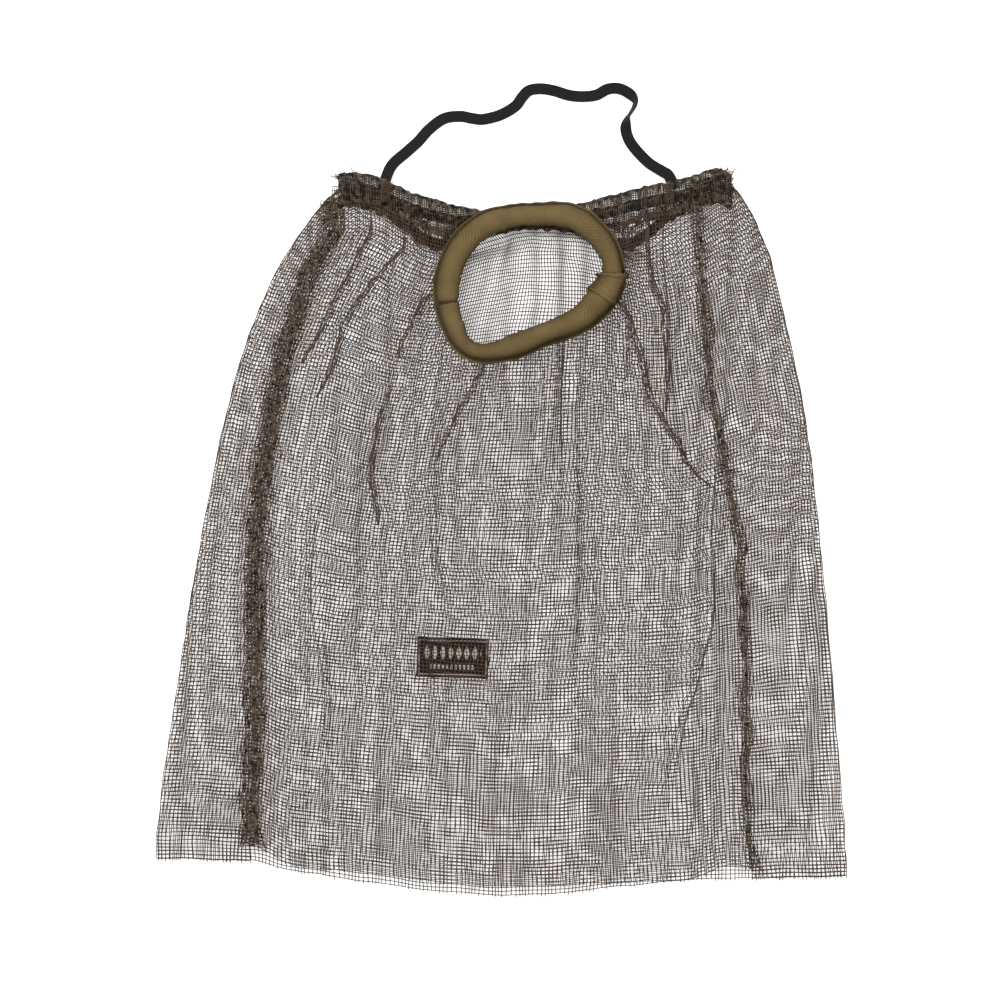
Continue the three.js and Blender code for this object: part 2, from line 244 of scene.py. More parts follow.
# %% [markdown]
# The ring's twill is an olive brown with a fine diagonal rib, the elastic is black with ribs along it, and
# the label has a woven pattern. These patterns follow the cloth round its bends, so they read the piece's
# UV map. A wave in Object coordinates would cut straight through a curved piece instead.

# %% Twill, elastic and label
TWILL_RIB = 1.5 * MM
TWILL_WEFT = 0.55 * MM
ELASTIC_RIBS = 9.0               # across its width
ELASTIC_KNIT = 1.1 * MM
LABEL_WEAVE = 0.45 * MM
LOZENGES = 9.0                   # as many as would fill the label's width
DASHES = 17.0


def twill_finish(name, long, wide, lean=1.0, crown_at=0.5, reach=0.25):
    """Diagonal ribs on a strip of cloth that is long by wide metres, laid out by its UV map. Painted shade
    darkens it away from a line at crown_at of its width, the most at reach from there, so that line reads
    lit."""
    finish = Finish(name)
    u, v = finish.uv()
    slant = u * (long / TWILL_RIB) + v * (lean * wide / TWILL_RIB)
    weft = (v * (wide / TWILL_WEFT)).wave()
    patch = finish.noise(55.0, 3.0)
    fleck = finish.noise(1500.0, 2.0)
    rib = slant.wave()
    shade = (rib * 0.55 + fleck * 0.35 + patch * 0.5 - 0.22).clamped()
    # painted shade: darker away from the lit line at crown_at, as on the sides of a tube lit from above
    painted_shade = ((v - crown_at).size() * (1 / reach)).clamped()
    shade = shade * (1 - painted_shade * painted_shade * 0.62)
    color = finish.mix(shade, (0.024, 0.016, 0.005), (0.25, 0.175, 0.075))
    height = rib * 0.8 + weft * 0.25 + fleck * 0.35
    return finish.shine(color, 0.86 - fleck * 0.1, height, 0.0003)


def elastic_finish(name, long):
    finish = Finish(name)
    u, v = finish.uv()
    rib = (v * ELASTIC_RIBS).wave()
    knit = (u * (long / ELASTIC_KNIT)).wave()
    fleck = finish.noise(2200.0, 2.0)
    shade = (rib * 0.35 + knit * 0.15 + fleck * 0.5).clamped()
    color = finish.mix(shade, (0.002, 0.002, 0.002), (0.02, 0.02, 0.02))
    return finish.shine(color, 0.75 - fleck * 0.2, rib * 0.8 + knit * 0.3 + fleck * 0.2, 0.0003)


def label_finish(tall):
    """A plain woven label: a dark ground with a border, a row of lozenges and a row of dashes. Places on it
    are shares of its width and height, and each edge has a soft step."""
    finish = Finish("label")
    u, v = finish.uv()
    across = (u - 0.5).size()
    upward = (v - 0.5).size()
    border = across.over(0.455, 0.008) * (1 - across.over(0.472, 0.008)) * (1 - upward.over(0.44, 0.02))
    rails = upward.over(0.4, 0.015) * (1 - upward.over(0.43, 0.015)) * (1 - across.over(0.472, 0.008))
    ramp = (u * LOZENGES).wave()
    lozenge = (ramp - (v - 0.62).size() * 5.0).over(0.1, 0.15) * (1 - across.over(0.38, 0.02))
    dashes = (u * DASHES).wave().over(0.45, 0.1) * (1 - (v - 0.27).size().over(0.045, 0.02))
    dashes = dashes * (1 - across.over(0.3, 0.02))
    motif = (border + rails + lozenge * 0.95 + dashes * 0.9).clamped()
    weave = (v * (tall / LABEL_WEAVE)).wave()
    fleck = finish.noise(1800.0, 2.0)
    pale = (motif * (0.7 + fleck * 0.6)).clamped()
    ground = finish.mix(fleck, (0.005, 0.004, 0.003), (0.024, 0.019, 0.015))
    color = finish.mix(pale, ground, (0.72, 0.67, 0.6))
    return finish.shine(color, 0.8, weave * 0.6 + motif * 0.6 + fleck * 0.3, 0.0002)


# %% [markdown]
# ## Reading the frame
# The side folds, the seams and the top edges of the casings are read off the CAD solids, so that the
# netting keeps to them if a size changes. They could be typed in again, but then two scripts would have to
# agree. Only the hem is given by points of its own, because the solids' hem has too few corners for a soft
# edge.

# %% Lines traced off the solids
SIDE_SLICES, CROWN_SLICES = 40, 25
FOLD_LOW, FOLD_HIGH = 1.6 * MM, 4 * MM      # the side folds are read between these heights
SIDE_RISE = 15 * MM                         # how far the netting of the sides runs up past the folds
SHOULDER = 30 * MM


def smoothstep(value, low, high):
    share = np.clip((value - low) / (high - low), 0, 1)
    return share * share * (3 - 2 * share)


def smooth_path(points, count):
    """A smooth curve through given points, by Catmull and Rom's rule."""
    padded = np.array([2 * points[0] - points[1], *points, 2 * points[-1] - points[-2]])
    result = []
    for share in np.linspace(0, len(points) - 1, count):
        index = min(int(share), len(points) - 2)
        t = share - index
        a, b, c, d = padded[index:index + 4]
        bend = (2 * a - 5 * b + 4 * c - d) * t ** 2 + (3 * b - a - 3 * c + d) * t ** 3
        result.append(0.5 * (2 * b + (c - a) * t + bend))
    return np.array(result)


def corners(*nodes):
    """All the corners of those CAD solids."""
    spots = []
    for node in nodes:
        mesh = frame["nodes"][node].data
        flat = np.empty(len(mesh.vertices) * 3)
        mesh.vertices.foreach_get("co", flat)
        spots.append(flat.reshape(-1, 3))
    return np.concatenate(spots)


def trace(spots, pick, along, across, slices):
    """For each slice of the spots along one axis, the lowest, highest or middle place on the other axis."""
    cuts = np.linspace(spots[:, along].min(), spots[:, along].max(), slices + 1)
    found = np.digitize(spots[:, along], cuts[1:-1])
    line = []
    for index in range(slices):
        here = spots[found == index]
        if len(here) and pick == "middle":
            line.append((here[:, along].mean(), here[:, across].mean()))
        elif len(here):
            best = here[:, across].argmin() if pick == "low" else here[:, across].argmax()
            line.append((here[best, along], here[best, across]))
    places, values = np.array(sorted(line)).T
    return lambda place: np.interp(place, places, values)


sides = corners("back_net_upper", "back_net_lower")
sides = sides[(sides[:, 2] > FOLD_LOW) & (sides[:, 2] < FOLD_HIGH)]
left_fold = trace(sides[sides[:, 0] < 0], "low", 1, 0, SIDE_SLICES)
right_fold = trace(sides[sides[:, 0] > 0], "high", 1, 0, SIDE_SLICES)
left_seam = trace(corners("left_seam_upper", "left_seam_lower"), "middle", 1, 0, SIDE_SLICES)
right_seam = trace(corners("right_seam_upper", "right_seam_lower"), "middle", 1, 0, SIDE_SLICES)
HEM = np.array([
    (-260, -232), (-180, -234), (-138, -243), (0, -259), (131, -248), (247, -245), (260, -245),
]) * MM
hem_line = smooth_path(HEM, 200)


def hem(x):
    """The cut edge at the bottom of the back."""
    return np.interp(x, hem_line[:, 0], hem_line[:, 1])


front_crown = trace(corners("front_casing"), "high", 0, 1, CROWN_SLICES)
back_crown = trace(corners("back_casing"), "high", 0, 1, CROWN_SLICES)
fold_top = sides[:, 1].max()
side_top = fold_top + SIDE_RISE
side_hem = sides[:, 1].min()
CASING_LEFT, CASING_RIGHT = (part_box("front_casing")[i].x for i in (0, 1))


def drawn_in(y, fold, casing_end):
    """A side fold, drawn in above its own top to the end of the casing."""
    up = np.clip((y - fold_top) / (side_top - fold_top), 0, 1)
    return fold(y) + up * (casing_end - fold(fold_top))


def left_edge(y):
    return drawn_in(y, left_fold, CASING_LEFT)


def right_edge(y):
    return drawn_in(y, right_fold, CASING_RIGHT)


def shoulder(x):
    """1 at the casing's ends, where the netting runs up to its full height, falling to 0 inside them."""
    inside = np.minimum(x - CASING_LEFT, CASING_RIGHT - x)
    return 1 - smoothstep(inside, 0, SHOULDER)


print("side folds from", round(side_top / MM), "to", round(side_hem / MM), "mm")
print("hem at the centre:", round(float(hem(0)) / MM), "mm")

# %% [markdown]
# ## The ring's line
# The ring is a rounded, lopsided oval, fuller at the upper right and pulled down to a corner at the lower
# left. An ellipse would be shorter to write, but it misses both. The line is a smooth curve through a few
# points. From it comes one function that says how far a point is outside the ring, which also cuts the face
# opening.

# %% The ring's line
RING_SHAPE = np.array([
    (2, 48), (28, 47), (46, 35), (56, 20), (57.5, 4), (48.5, -11), (33, -25), (10, -34.5), (-13, -43.5),
    (-34, -48), (-47, -42), (-53.5, -29.5), (-57.5, -15), (-58, 0), (-53.5, 16), (-45, 30), (-31, 41.5),
    (-15, 46.5),
]) * MM                   # clockwise from the top, measured from the middle of the opening
RING_STEPS = 900
TABLE_OVERLAP = 0.3       # radians by which the line is read clear of its own ends
ring_centre = np.array([20, 176]) * MM
ring_low, ring_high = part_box("ring_cover")
RING_UP = (ring_low.z + ring_high.z) / 2
RING_HALF = RING_UP - ring_low.z
ring_line = smooth_path(np.array([*RING_SHAPE[-2:], *RING_SHAPE, *RING_SHAPE[:3]]), RING_STEPS)
ring_angles = np.unwrap(np.arctan2(ring_line[:, 1], ring_line[:, 0]))
ring_order = np.argsort(ring_angles)
ring_radii = np.hypot(ring_line[:, 0], ring_line[:, 1])[ring_order]
ring_angles = ring_angles[ring_order]


def ring_radius(angle):
    """How far the ring's middle line is from the middle of the opening, at that angle."""
    start = ring_angles[0] + TABLE_OVERLAP
    return np.interp((angle - start) % (2 * math.pi) + start, ring_angles, ring_radii)


def outside_ring(x, y):
    """How far a point is outside the middle line of the ring, measured from its centre."""
    dx, dy = x - ring_centre[0], y - ring_centre[1]
    return np.hypot(dx, dy) - ring_radius(np.arctan2(dy, dx))


RAISED = 6 * MM           # how far the casings are pulled up behind the top of the ring
RAISED_HALF = 42 * MM


def behind_ring(x):
    """1 where a casing passes behind the top of the ring, falling to 0 beside it."""
    return np.exp(-((x - ring_centre[0]) / RAISED_HALF) ** 2)


print("ring radii, mm:", (ring_radii / MM).min().round(), "to", (ring_radii / MM).max().round())

# %% [markdown]
# ## Yarn by yarn
# A net could be a sheet with a see-through pattern, which is quick but has no thickness and goes to mush up
# close. It could be a lattice of bent plates. Here each yarn is a curve through the crossings, swept with a
# small bevel: the two directions pass over and under each other, and the yarns bunch where the cloth folds.

# %% Weaving a grid of crossings
PITCH = 2.7 * MM
YARN = 0.62 * MM
YARN_TALL = 0.9 * MM     # a yarn of this net is a doubled thread, deeper than it is wide
WEAVE = 0.2 * MM         # how far apart in height the two sets of yarns pass
THREAD = 0.42 * MM
MERGE = 1e-6


def section_of(wide, tall):
    """A small diamond, which is the cross-section of a strand."""
    curve = bpy.data.curves.new("section", "CURVE")
    diamond = curve.splines.new("POLY")
    diamond.points.add(3)
    corners_at = [(wide / 2, 0), (0, -tall / 2), (-wide / 2, 0), (0, tall / 2)]
    diamond.points.foreach_set("co", [value for x, y in corners_at for value in (x, y, 0, 1)])
    diamond.use_cyclic_u = True
    section = bpy.data.objects.new("section", curve)
    bpy.context.collection.objects.link(section)
    return section


def drawn(name, lines, wide, tall):
    """A mesh of closed strands that wide and tall along the lines, each an array of points."""
    section = section_of(wide, tall)
    curve = bpy.data.curves.new(name, "CURVE")
    curve.dimensions = "3D"
    curve.bevel_mode = "OBJECT"
    curve.bevel_object = section
    curve.use_fill_caps = True
    curve.twist_mode = "Z_UP"
    for line in lines:
        spline = curve.splines.new("POLY")
        spline.points.add(len(line) - 1)
        spline.points.foreach_set("co", np.c_[line, np.ones(len(line))].astype(np.float32).ravel())
    source = bpy.data.objects.new(name, curve)
    bpy.context.collection.objects.link(source)
    shaped = source.evaluated_get(bpy.context.evaluated_depsgraph_get())
    mesh = bpy.data.meshes.new_from_object(shaped)
    for spare in (source, section):
        bpy.data.curves.remove(spare.data)
    closed = bmesh.new()
    closed.from_mesh(mesh)
    ends = [vertex for vertex in closed.verts if vertex.is_boundary]
    bmesh.ops.remove_doubles(closed, verts=ends, dist=MERGE)
    closed.to_mesh(mesh)
    closed.free()
    mesh.name = name
    return mesh


def shown(name, mesh, material):
    """A piece of that mesh, in the scene."""
    piece = bpy.data.objects.new(name, mesh)
    mesh.materials.clear()
    mesh.materials.append(material)
    mesh.polygons.foreach_set("use_smooth", [True] * len(mesh.polygons))
    bpy.context.collection.objects.link(piece)
    triangles = sum(len(p.vertices) - 2 for p in mesh.polygons)
    print(f"{name}: {triangles} triangles")
    return piece


def net_of(name, lines, material=netting, tall=YARN_TALL):
    return shown(name, drawn(name, lines, YARN, tall), material)


def thread_of(name, lines):
    return shown(name, drawn(name, lines, THREAD, THREAD), seam_thread)


def runs(points, kept):
    """The stretches of a line of points whose crossings are kept."""
    ends = np.flatnonzero(np.diff(np.r_[False, kept, False].astype(int)))
    for first, past in zip(ends[::2], ends[1::2]):
        if past - first > 1:
            yield np.array(points[first:past])


def yarns(grid, kept=None, whole=(True, True), tails=0.0, seed=1):
    """The lines of both sets of yarns through a grid of crossings, shaped rows by columns by 3. kept says
    which crossings are there. whole says whether the last column and the last row have a yarn of their own
    here. The downward yarns stick out at the end by up to tails, as at a cut edge."""
    rows, columns = grid.shape[:2]
    kept = np.ones((rows, columns), bool) if kept is None else kept
    over = np.where((np.add.outer(np.arange(rows), np.arange(columns)) % 2) == 0, 0.5, -0.5) * WEAVE
    lifted, lowered = grid.copy(), grid.copy()
    lifted[:, :, 2] += over
    lowered[:, :, 2] -= over
    random = np.random.default_rng(seed)
    for row in range(rows - (not whole[1])):
        yield from runs(lifted[row], kept[row])
    for column in range(columns - (not whole[0])):
        line = lowered[:, column].copy()
        if tails:
            line[-1] += (line[-1] - line[-2]) / PITCH * random.uniform(0, tails)
        yield from runs(line, kept[:, column])


# %% [markdown]
# ## Smooth randomness
# Nothing on cloth is quite straight, and nothing on it jumps either. Plain random numbers would jump from
# one crossing to the next. A sum of a few sine waves with random headings changes smoothly and is cheap. It
# is seeded, so it comes out the same each time.

# %% Smooth randomness
def wander(seed, count, *places):
    """Smooth noise between about -1 and 1 at those places, given in units of its wavelength."""
    random = np.random.default_rng(seed)
    total = 0.0
    for _ in range(count):
        turn = random.uniform(0, 2 * math.pi)
        heading = random.normal(size=len(places))
        heading = heading / np.linalg.norm(heading) * random.uniform(0.6, 1.5)
        total = total + np.sin(sum(h * p for h, p in zip(heading, places)) * 2 * math.pi + turn)
    return total / math.sqrt(count * 2)


# %% [markdown]
# ## How the netting lies
# The two panels lie on each other with a little air between them. The front stands highest in the middle
# and comes down to the folds at its sides. A cloth simulation could find this, but a net this fine would
# take it many minutes. The heights are taken from the CAD solids instead, and the pleats are added to them.

# %% Heights of the layers
UNDER_TOP = 0.6 * MM
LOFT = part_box("front_net_lower")[1].z - UNDER_TOP
SIDE_LOFT = 5 * MM
CLEAR_OF_BACK = 1.5 * MM
CASING_DEPTH = 24 * MM
NETTED = {"front": 24 * MM, "back": 17 * MM}     # how far down from the crown each casing's netting goes
CASING_UP = {name: sum(z.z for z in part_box(f"{name}_elastic")) / 2 for name in ("front", "back")}
FLOOR_CLEAR = YARN_TALL / 2 + WEAVE / 2


def front_height(x, y_side):
    share = (x - left_edge(y_side)) / (right_edge(y_side) - left_edge(y_side))
    return SIDE_LOFT + (LOFT - SIDE_LOFT) * smoothstep(np.minimum(share, 1 - share), 0, 0.2)


# %% [markdown]
# ## Pleats and creases
# Cloth keeps its length, so where it stands up in a pleat it takes up width. Each row of crossings is laid
# out like that. The heights of the pleats are chosen, the width that each step has left is worked out from
# its slope, and the row is fitted between its two ends. Pushing the crossings up alone would stretch the
# net, but this way the yarns crowd by themselves on the flanks of a pleat, which is what makes it look dark
# there.

# %% Pleats and creases
STEEPEST = 0.93          # the most that a step may rise, for each metre along the cloth


def pleat_list(seed, count, hand):
    """Pleats as (place at the crown, place at the hem, height at the crown, at the hem, half width), with the
    places as shares across the panel and the rest in mm."""
    random = np.random.default_rng(seed)
    pleats = [*hand]
    for _ in range(count):
        top = random.uniform(0.03, 0.97)
        pleats.append((top, np.clip(top + random.normal(0, 0.05), 0.03, 0.97), random.uniform(1.5, 4.6),
                       random.uniform(-0.2, 1.7), random.uniform(3.0, 6.5)))
    return pleats


def pleat_heights(pleats, share, v, wide, seed):
    """Height in metres that the pleats add, at that share across and v down a panel that is wide metres."""
    total = 0.0
    for index, (top, end, high, low, half) in enumerate(pleats):
        path = top + (end - top) * v + 0.012 * wander(seed + index, 3, v * 1.6)
        fade = high + (low - high) * v ** 0.7
        swell = 1 + 0.35 * wander(seed + 50 + index, 3, v * 3.1)
        away = (share - path) * wide / (half * MM * (1 + 0.9 * v))
        total = total + fade * swell * MM * np.exp(-away * away / 2)
    return total


def crease_path(crease, v):
    """The share across at which a crease runs, at v down the panel."""
    start, at_start, end, at_end = crease[:4]
    sway = 0.008 * np.sin(v * 21 + at_start * 40)
    return at_start + (at_end - at_start) * (v - start) / (end - start) + sway


def crease_heights(creases, share, v, wide):
    """Height that creases add. A crease is a fold that runs only part of the way: v and share where it
    starts, v and share where it ends, and its height and half width in mm."""
    total = 0.0
    for crease in creases:
        start, _, end, _, high, half = crease
        length = smoothstep(v, start - 0.03, start + 0.05) * (1 - smoothstep(v, end - 0.12, end + 0.03))
        away = (share - crease_path(crease, v)) * wide / (half * MM)
        total = total + length * high * MM * np.exp(-away * away / 2)
    return total


def laid_out(heights, step, ends):
    """Places across, between the two ends, of a row of crossings with those heights."""
    slope = np.clip(np.diff(heights, axis=1) / step, -STEEPEST, STEEPEST)
    run = np.cumsum(np.sqrt(1 - slope * slope), axis=1)
    run = np.c_[np.zeros(len(run)), run / run[:, -1:]]
    return ends[0][:, None] + (ends[1] - ends[0])[:, None] * run


# %% [markdown]
# ## Front netting
# The front panel runs from the casing to the hem between the two seams, with the face opening in it. Its
# pleats are deep under the gathers and soften towards the hem. A few are given one by one, where the cloth
# hangs from the corners of the ring, and the rest are scattered. All of them at random would lose the fan
# of folds that gives the veil its look, and all of them by hand would be slow and too regular.

# %% The front's crossings
FRONT_COLUMNS = 135
FRONT_ROWS = 179
TUCK = 3 * MM            # how far the netting runs up into the casing
FOLD = -14 * MM          # the row of crossings nearest this line parts the upper and lower pieces
HEM_TAILS = 2.2 * MM     # how far the cut yarns stick out at the hem, at most
OPENING_EDGE = 2.5 * MM  # the netting ends this far outside the ring's line, under the ring

HAND_PLEATS = [
    (0.17, 0.14, 6.5, 1.2, 6.0), (0.26, 0.24, 5.0, 0.6, 5.0), (0.33, 0.36, 6.0, 1.0, 5.0),
    (0.44, 0.47, 1.0, 1.6, 6.5), (0.79, 0.9, 6.5, 0.8, 5.5), (0.86, 0.72, 4.5, 1.6, 6.0),
    (0.07, 0.06, 5.0, 1.5, 5.0),
]
FRONT_CREASES = [
    (0.03, 0.21, 0.29, 0.08, 9.0, 2.4), (0.25, 0.24, 0.46, 0.25, 8.0, 2.2),
    (0.18, 0.46, 0.34, 0.38, 7.0, 2.4), (0.08, 0.76, 0.42, 0.94, 9.0, 2.6),
    (0.38, 0.97, 0.90, 0.83, 8.5, 2.8), (0.03, 0.36, 0.20, 0.26, 8.0, 2.6),
    (0.02, 0.88, 0.30, 0.90, 8.0, 2.6), (0.30, 0.37, 0.60, 0.37, 6.0, 2.6),
    (0.02, 0.12, 0.24, 0.05, 8.0, 2.4), (0.34, 0.66, 0.72, 0.70, 4.5, 2.8),
    (0.5, 0.5, 0.95, 0.52, 4.0, 3.2), (0.45, 0.12, 0.92, 0.16, 4.5, 2.8),
]
SHARP_ABOVE = 0.28       # creases that start this near the crown are pressed sharp
SHARP_CREASES = [crease for crease in FRONT_CREASES if crease[0] < SHARP_ABOVE]


def front_hem(x):
    """The front's cut edge is a little short of the back's, and lifts beside each seam."""
    at_left = np.exp(-((x - left_seam(side_hem)) / (20 * MM)) ** 2)
    at_right = np.exp(-((x - right_seam(side_hem) + 14 * MM) / (22 * MM)) ** 2)
    middle = 1 - smoothstep(np.abs(x + 30 * MM), 60 * MM, 160 * MM)
    return hem(x) + (1.5 + 6.5 * middle + 10 * at_left + 9 * at_right) * MM


def front_grid():
    """The front's crossings. Each wander() is an amount times noise whose wavelengths are given in metres."""
    v = np.linspace(0, 1, FRONT_ROWS)[:, None]
    share = np.linspace(0, 1, FRONT_COLUMNS)[None, :]
    y_side = side_top + (side_hem - side_top) * v[:, 0]
    ends = left_seam(y_side), right_seam(y_side)
    wide = (ends[1] - ends[0]).mean()
    pleats = pleat_list(7, 26, HAND_PLEATS)
    heights = pleat_heights(pleats, share, v, wide, 100)
    gathers = wander(8, 8, share * wide / (12 * MM), v * 2.2)
    heights = heights + crease_heights(FRONT_CREASES, share, v, wide)
    heights = heights + (0.35 + 1.9 * (1 - v) ** 2.2) * MM * gathers
    x = laid_out(heights, PITCH, ends)
    top = front_crown(x[0]) - CASING_DEPTH + TUCK
    y = top[None, :] + (front_hem(x) - top[None, :]) * v
    near = smoothstep(outside_ring(x, y), 8 * MM, 38 * MM)
    rolling = 1.3 * MM * wander(3, 6, x / 0.09, y / 0.13) + 0.6 * MM * wander(4, 6, x / 0.035, y / 0.07)
    flare = smoothstep(v, 0.86, 1.0) * 1.5 * MM * wander(5, 5, x / 0.045, y / 0.3)
    base = front_height(x, y_side[:, None])
    base = base + (CASING_UP["front"] - base) * (1 - smoothstep(v, 0.0, 0.06))
    lift = (heights + rolling + flare) * near
    z = np.maximum(base + lift, CASING_UP["back"] + CLEAR_OF_BACK)
    x = x + 3.2 * MM * wander(13, 7, x / 0.075, y / 0.4) * np.minimum(1, 8 * share * (1 - share))
    x = x + 1.1 * MM * wander(9, 7, x / 0.015, y / 0.45) + 0.3 * MM * wander(11, 6, x / 0.02, y / 0.03)
    y = y + 0.45 * MM * wander(12, 6, x / 0.03, y / 0.02)
    return np.dstack([x, y, z])


front = front_grid()
front_kept = outside_ring(front[:, :, 0], front[:, :, 1]) > OPENING_EDGE
fold_row = int(np.abs(front[:, FRONT_COLUMNS // 2, 1] - FOLD).argmin())
print("front crossings:", front_kept.sum(), "with the fold at row", fold_row)

# %% [markdown]
# Where a sharp crease doubles the cloth under itself, the downward yarns of the hidden layer show through
# as a few close lines. Folding the grid right over would tangle it, so those yarns are laid along the
# crease as extra ones, a little beside and above each other.

# %% Crowded yarns, and the front's two pieces
CROWDED = (-2.3, -1.1, 0.1, 1.4)     # how far beside the crease each extra yarn runs, in mm
CROWDED_CLEAR = 5 * MM               # how far they keep from the ring's line


def crowded_yarns(first_row, last_row):
    """The extra yarns of the sharp creases, between two rows of the front."""
    across = np.linspace(0, 1, FRONT_COLUMNS)
    for crease in SHARP_CREASES:
        start, end = crease[0], crease[2]
        rows = np.arange(round(start * (FRONT_ROWS - 1)), round(end * (FRONT_ROWS - 1)) + 1)
        v = rows / (FRONT_ROWS - 1)
        path = crease_path(crease, v)
        middle = np.array([[np.interp(at, across, front[row, :, axis]) for axis in range(3)]
                           for row, at in zip(rows, path)])
        spread = np.sqrt(np.sin(np.linspace(0.05, math.pi - 0.05, len(rows))))
        clear = outside_ring(middle[:, 0], middle[:, 1]) > CROWDED_CLEAR
        here = (rows >= first_row) & (rows <= last_row) & clear
        for number, offset in enumerate(CROWDED):
            line = middle + np.c_[offset * MM * spread, 0 * spread, (0.9 - 0.2 * offset) * MM * spread]
            line[:, 0] += 0.35 * MM * wander(400 + number, 5, rows / 9.0)
            yield from runs(line, here)


front_lines = {
    "upper": [*yarns(front[:fold_row + 1], front_kept[:fold_row + 1], (True, False)),
              *crowded_yarns(0, fold_row)],
    "lower": [*yarns(front[fold_row:], front_kept[fold_row:], tails=HEM_TAILS, seed=21),
              *crowded_yarns(fold_row, FRONT_ROWS - 1)],
}
front_netting = {part: net_of(f"front_netting_{part}", lines) for part, lines in front_lines.items()}

# %% [markdown]
# ## Back netting
# The back panel is wider than the front: it turns over to the front at each side and ends under the seams.
# Three flat panels would leave an edge at each side. Instead each row follows one section line, from the
# left seam round the left fold, along the back and round the right fold to the right seam, and the
# crossings are spaced evenly along it.

# %% The back's crossings
BACK_COLUMNS = 231
SECTION_STEPS = 9


def section_line(y_side):
    """The back panel's section at that height of its side folds: places across and up, and how far each is on
    the front, from 0 to 1."""
    left, right = float(left_edge(y_side)), float(right_edge(y_side))
    seams = float(left_seam(y_side)), float(right_seam(y_side))
    middle = (SIDE_LOFT + FLOOR_CLEAR) / 2
    turn = middle - FLOOR_CLEAR
    points = []
    for edge, seam, inwards in ((left, seams[0], 1), (right, seams[1], -1)):
        strip = [(x, float(front_height(np.array(x), np.array(y_side))) - 0.4 * MM, 1.0)
                 for x in np.linspace(seam, edge + inwards * turn * 2, 12)]
        bend = [(edge + inwards * (YARN / 2 + turn * (1 - math.sin(a))), middle + turn * math.cos(a),
                 1 - a / math.pi) for a in np.linspace(0, math.pi, SECTION_STEPS)]
        points.append(strip + bend)
    flat = [(x, FLOOR_CLEAR, 0.0) for x in np.linspace(left + 3 * turn, right - 3 * turn, 40)]
    return np.array(points[0] + flat + points[1][::-1])


def back_grid():
    rows = []
    for v in np.linspace(0, 1, FRONT_ROWS):
        y_side = side_top + (side_hem - side_top) * v
        line = section_line(y_side)
        away = np.r_[0, np.cumsum(np.hypot(*np.diff(line[:, :2], axis=0).T))]
        even = np.linspace(0, away[-1], BACK_COLUMNS)
        rows.append(np.c_[[np.interp(even, away, line[:, axis]) for axis in range(3)]].T)
    grid = np.array(rows)
    x, z, facing = grid[:, :, 0], grid[:, :, 1], grid[:, :, 2]
    v = np.linspace(0, 1, FRONT_ROWS)[:, None]
    top_front = front_crown(x[0]) - CASING_DEPTH + TUCK + 12 * MM * shoulder(x[0])
    top_back = back_crown(x[0]) - NETTED["back"] + TUCK + 8 * MM * shoulder(x[0])
    top_back = top_back + RAISED * behind_ring(x[0])
    top = np.where(facing[0] > 0.5, top_front, top_back)
    y = top[None, :] + (hem(x) - top[None, :]) * v
    share = np.linspace(0, 1, BACK_COLUMNS)[None, :]
    creases = pleat_heights(pleat_list(17, 34, []), share, v, 0.5, 300)
    ripple = 0.5 * MM * (1 + wander(31, 6, x / 0.05, y / 0.11)) + np.abs(creases) * 0.55
    strips = 0.9 * MM * wander(32, 6, x / 0.04, y / 0.09)
    strips = strips * smoothstep(np.abs(z - FLOOR_CLEAR), 1 * MM, 4 * MM)
    z = z + np.where(facing > 0.5, strips, ripple * (1 - smoothstep(facing, 0.0, 0.5)))
    squeeze = 1.6 * MM * wander(33, 7, x / 0.022, y / 0.16) * (1 - smoothstep(facing, 0.0, 0.3))
    x = x + squeeze + 0.4 * MM * wander(34, 6, x / 0.02, y / 0.03)
    y = y + 0.5 * MM * wander(35, 6, x / 0.03, y / 0.02)
    return np.dstack([x, y, np.maximum(z, FLOOR_CLEAR)])


back = back_grid()
back_fold = int(np.abs(back[:, BACK_COLUMNS // 2, 1] - FOLD).argmin())
half_way = BACK_COLUMNS // 2
back_netting = {}
for part, rows in (("upper", slice(0, back_fold + 1)), ("lower", slice(back_fold, None))):
    for side, columns in (("left", slice(0, half_way + 1)), ("right", slice(half_way, None))):
        whole = (side == "right", part == "lower")
        tails = HEM_TAILS if part == "lower" else 0.0
        lines = yarns(back[rows, columns], None, whole, tails, seed=40 + len(back_netting))
        back_netting[part, side] = net_of(f"back_netting_{part}_{side}", lines)

# %% [markdown]
# ## Seams
# At each seam the edges of the two panels are lapped and sewn, so layers of netting lie on each other and
# read as a dark band. A darker strip of one layer would do from afar, but close up the layers can be told
# apart. So each band is woven as layers that are a little askew to one another, wider on the left seam than
# on the right.

# %% Seam bands
def seam_grid(seam, wide, columns, layer, seed):
    v = np.linspace(0, 1, FRONT_ROWS)[:, None]
    y_side = side_top + (side_hem - side_top) * v
    width = wide * (0.95 + 0.28 * wander(seed + 3, 6, y_side / 0.045))
    across = np.linspace(-0.5, 0.5, columns)[None, :] * width
    middle = seam(y_side)
    drift = 1.9 * MM * wander(seed, 5, y_side / 0.05) + 0.5 * MM * layer
    x = middle + across + drift + 0.5 * MM * wander(seed + 1, 6, across / 0.01, y_side / 0.02)
    top = front_crown(seam(side_top)) - CASING_DEPTH + TUCK
    y = top + (front_hem(middle) - top) * v + across * 0.12 * (1 - 2 * (layer % 2)) + PITCH / 3 * layer
    z = front_height(middle, y_side) + (1 + layer) * MM + 0.5 * MM * wander(seed + 2, 6, x / 0.01, y / 0.05)
    return np.dstack([x, y, z])


SEAM_TAILS = 1.5 * MM


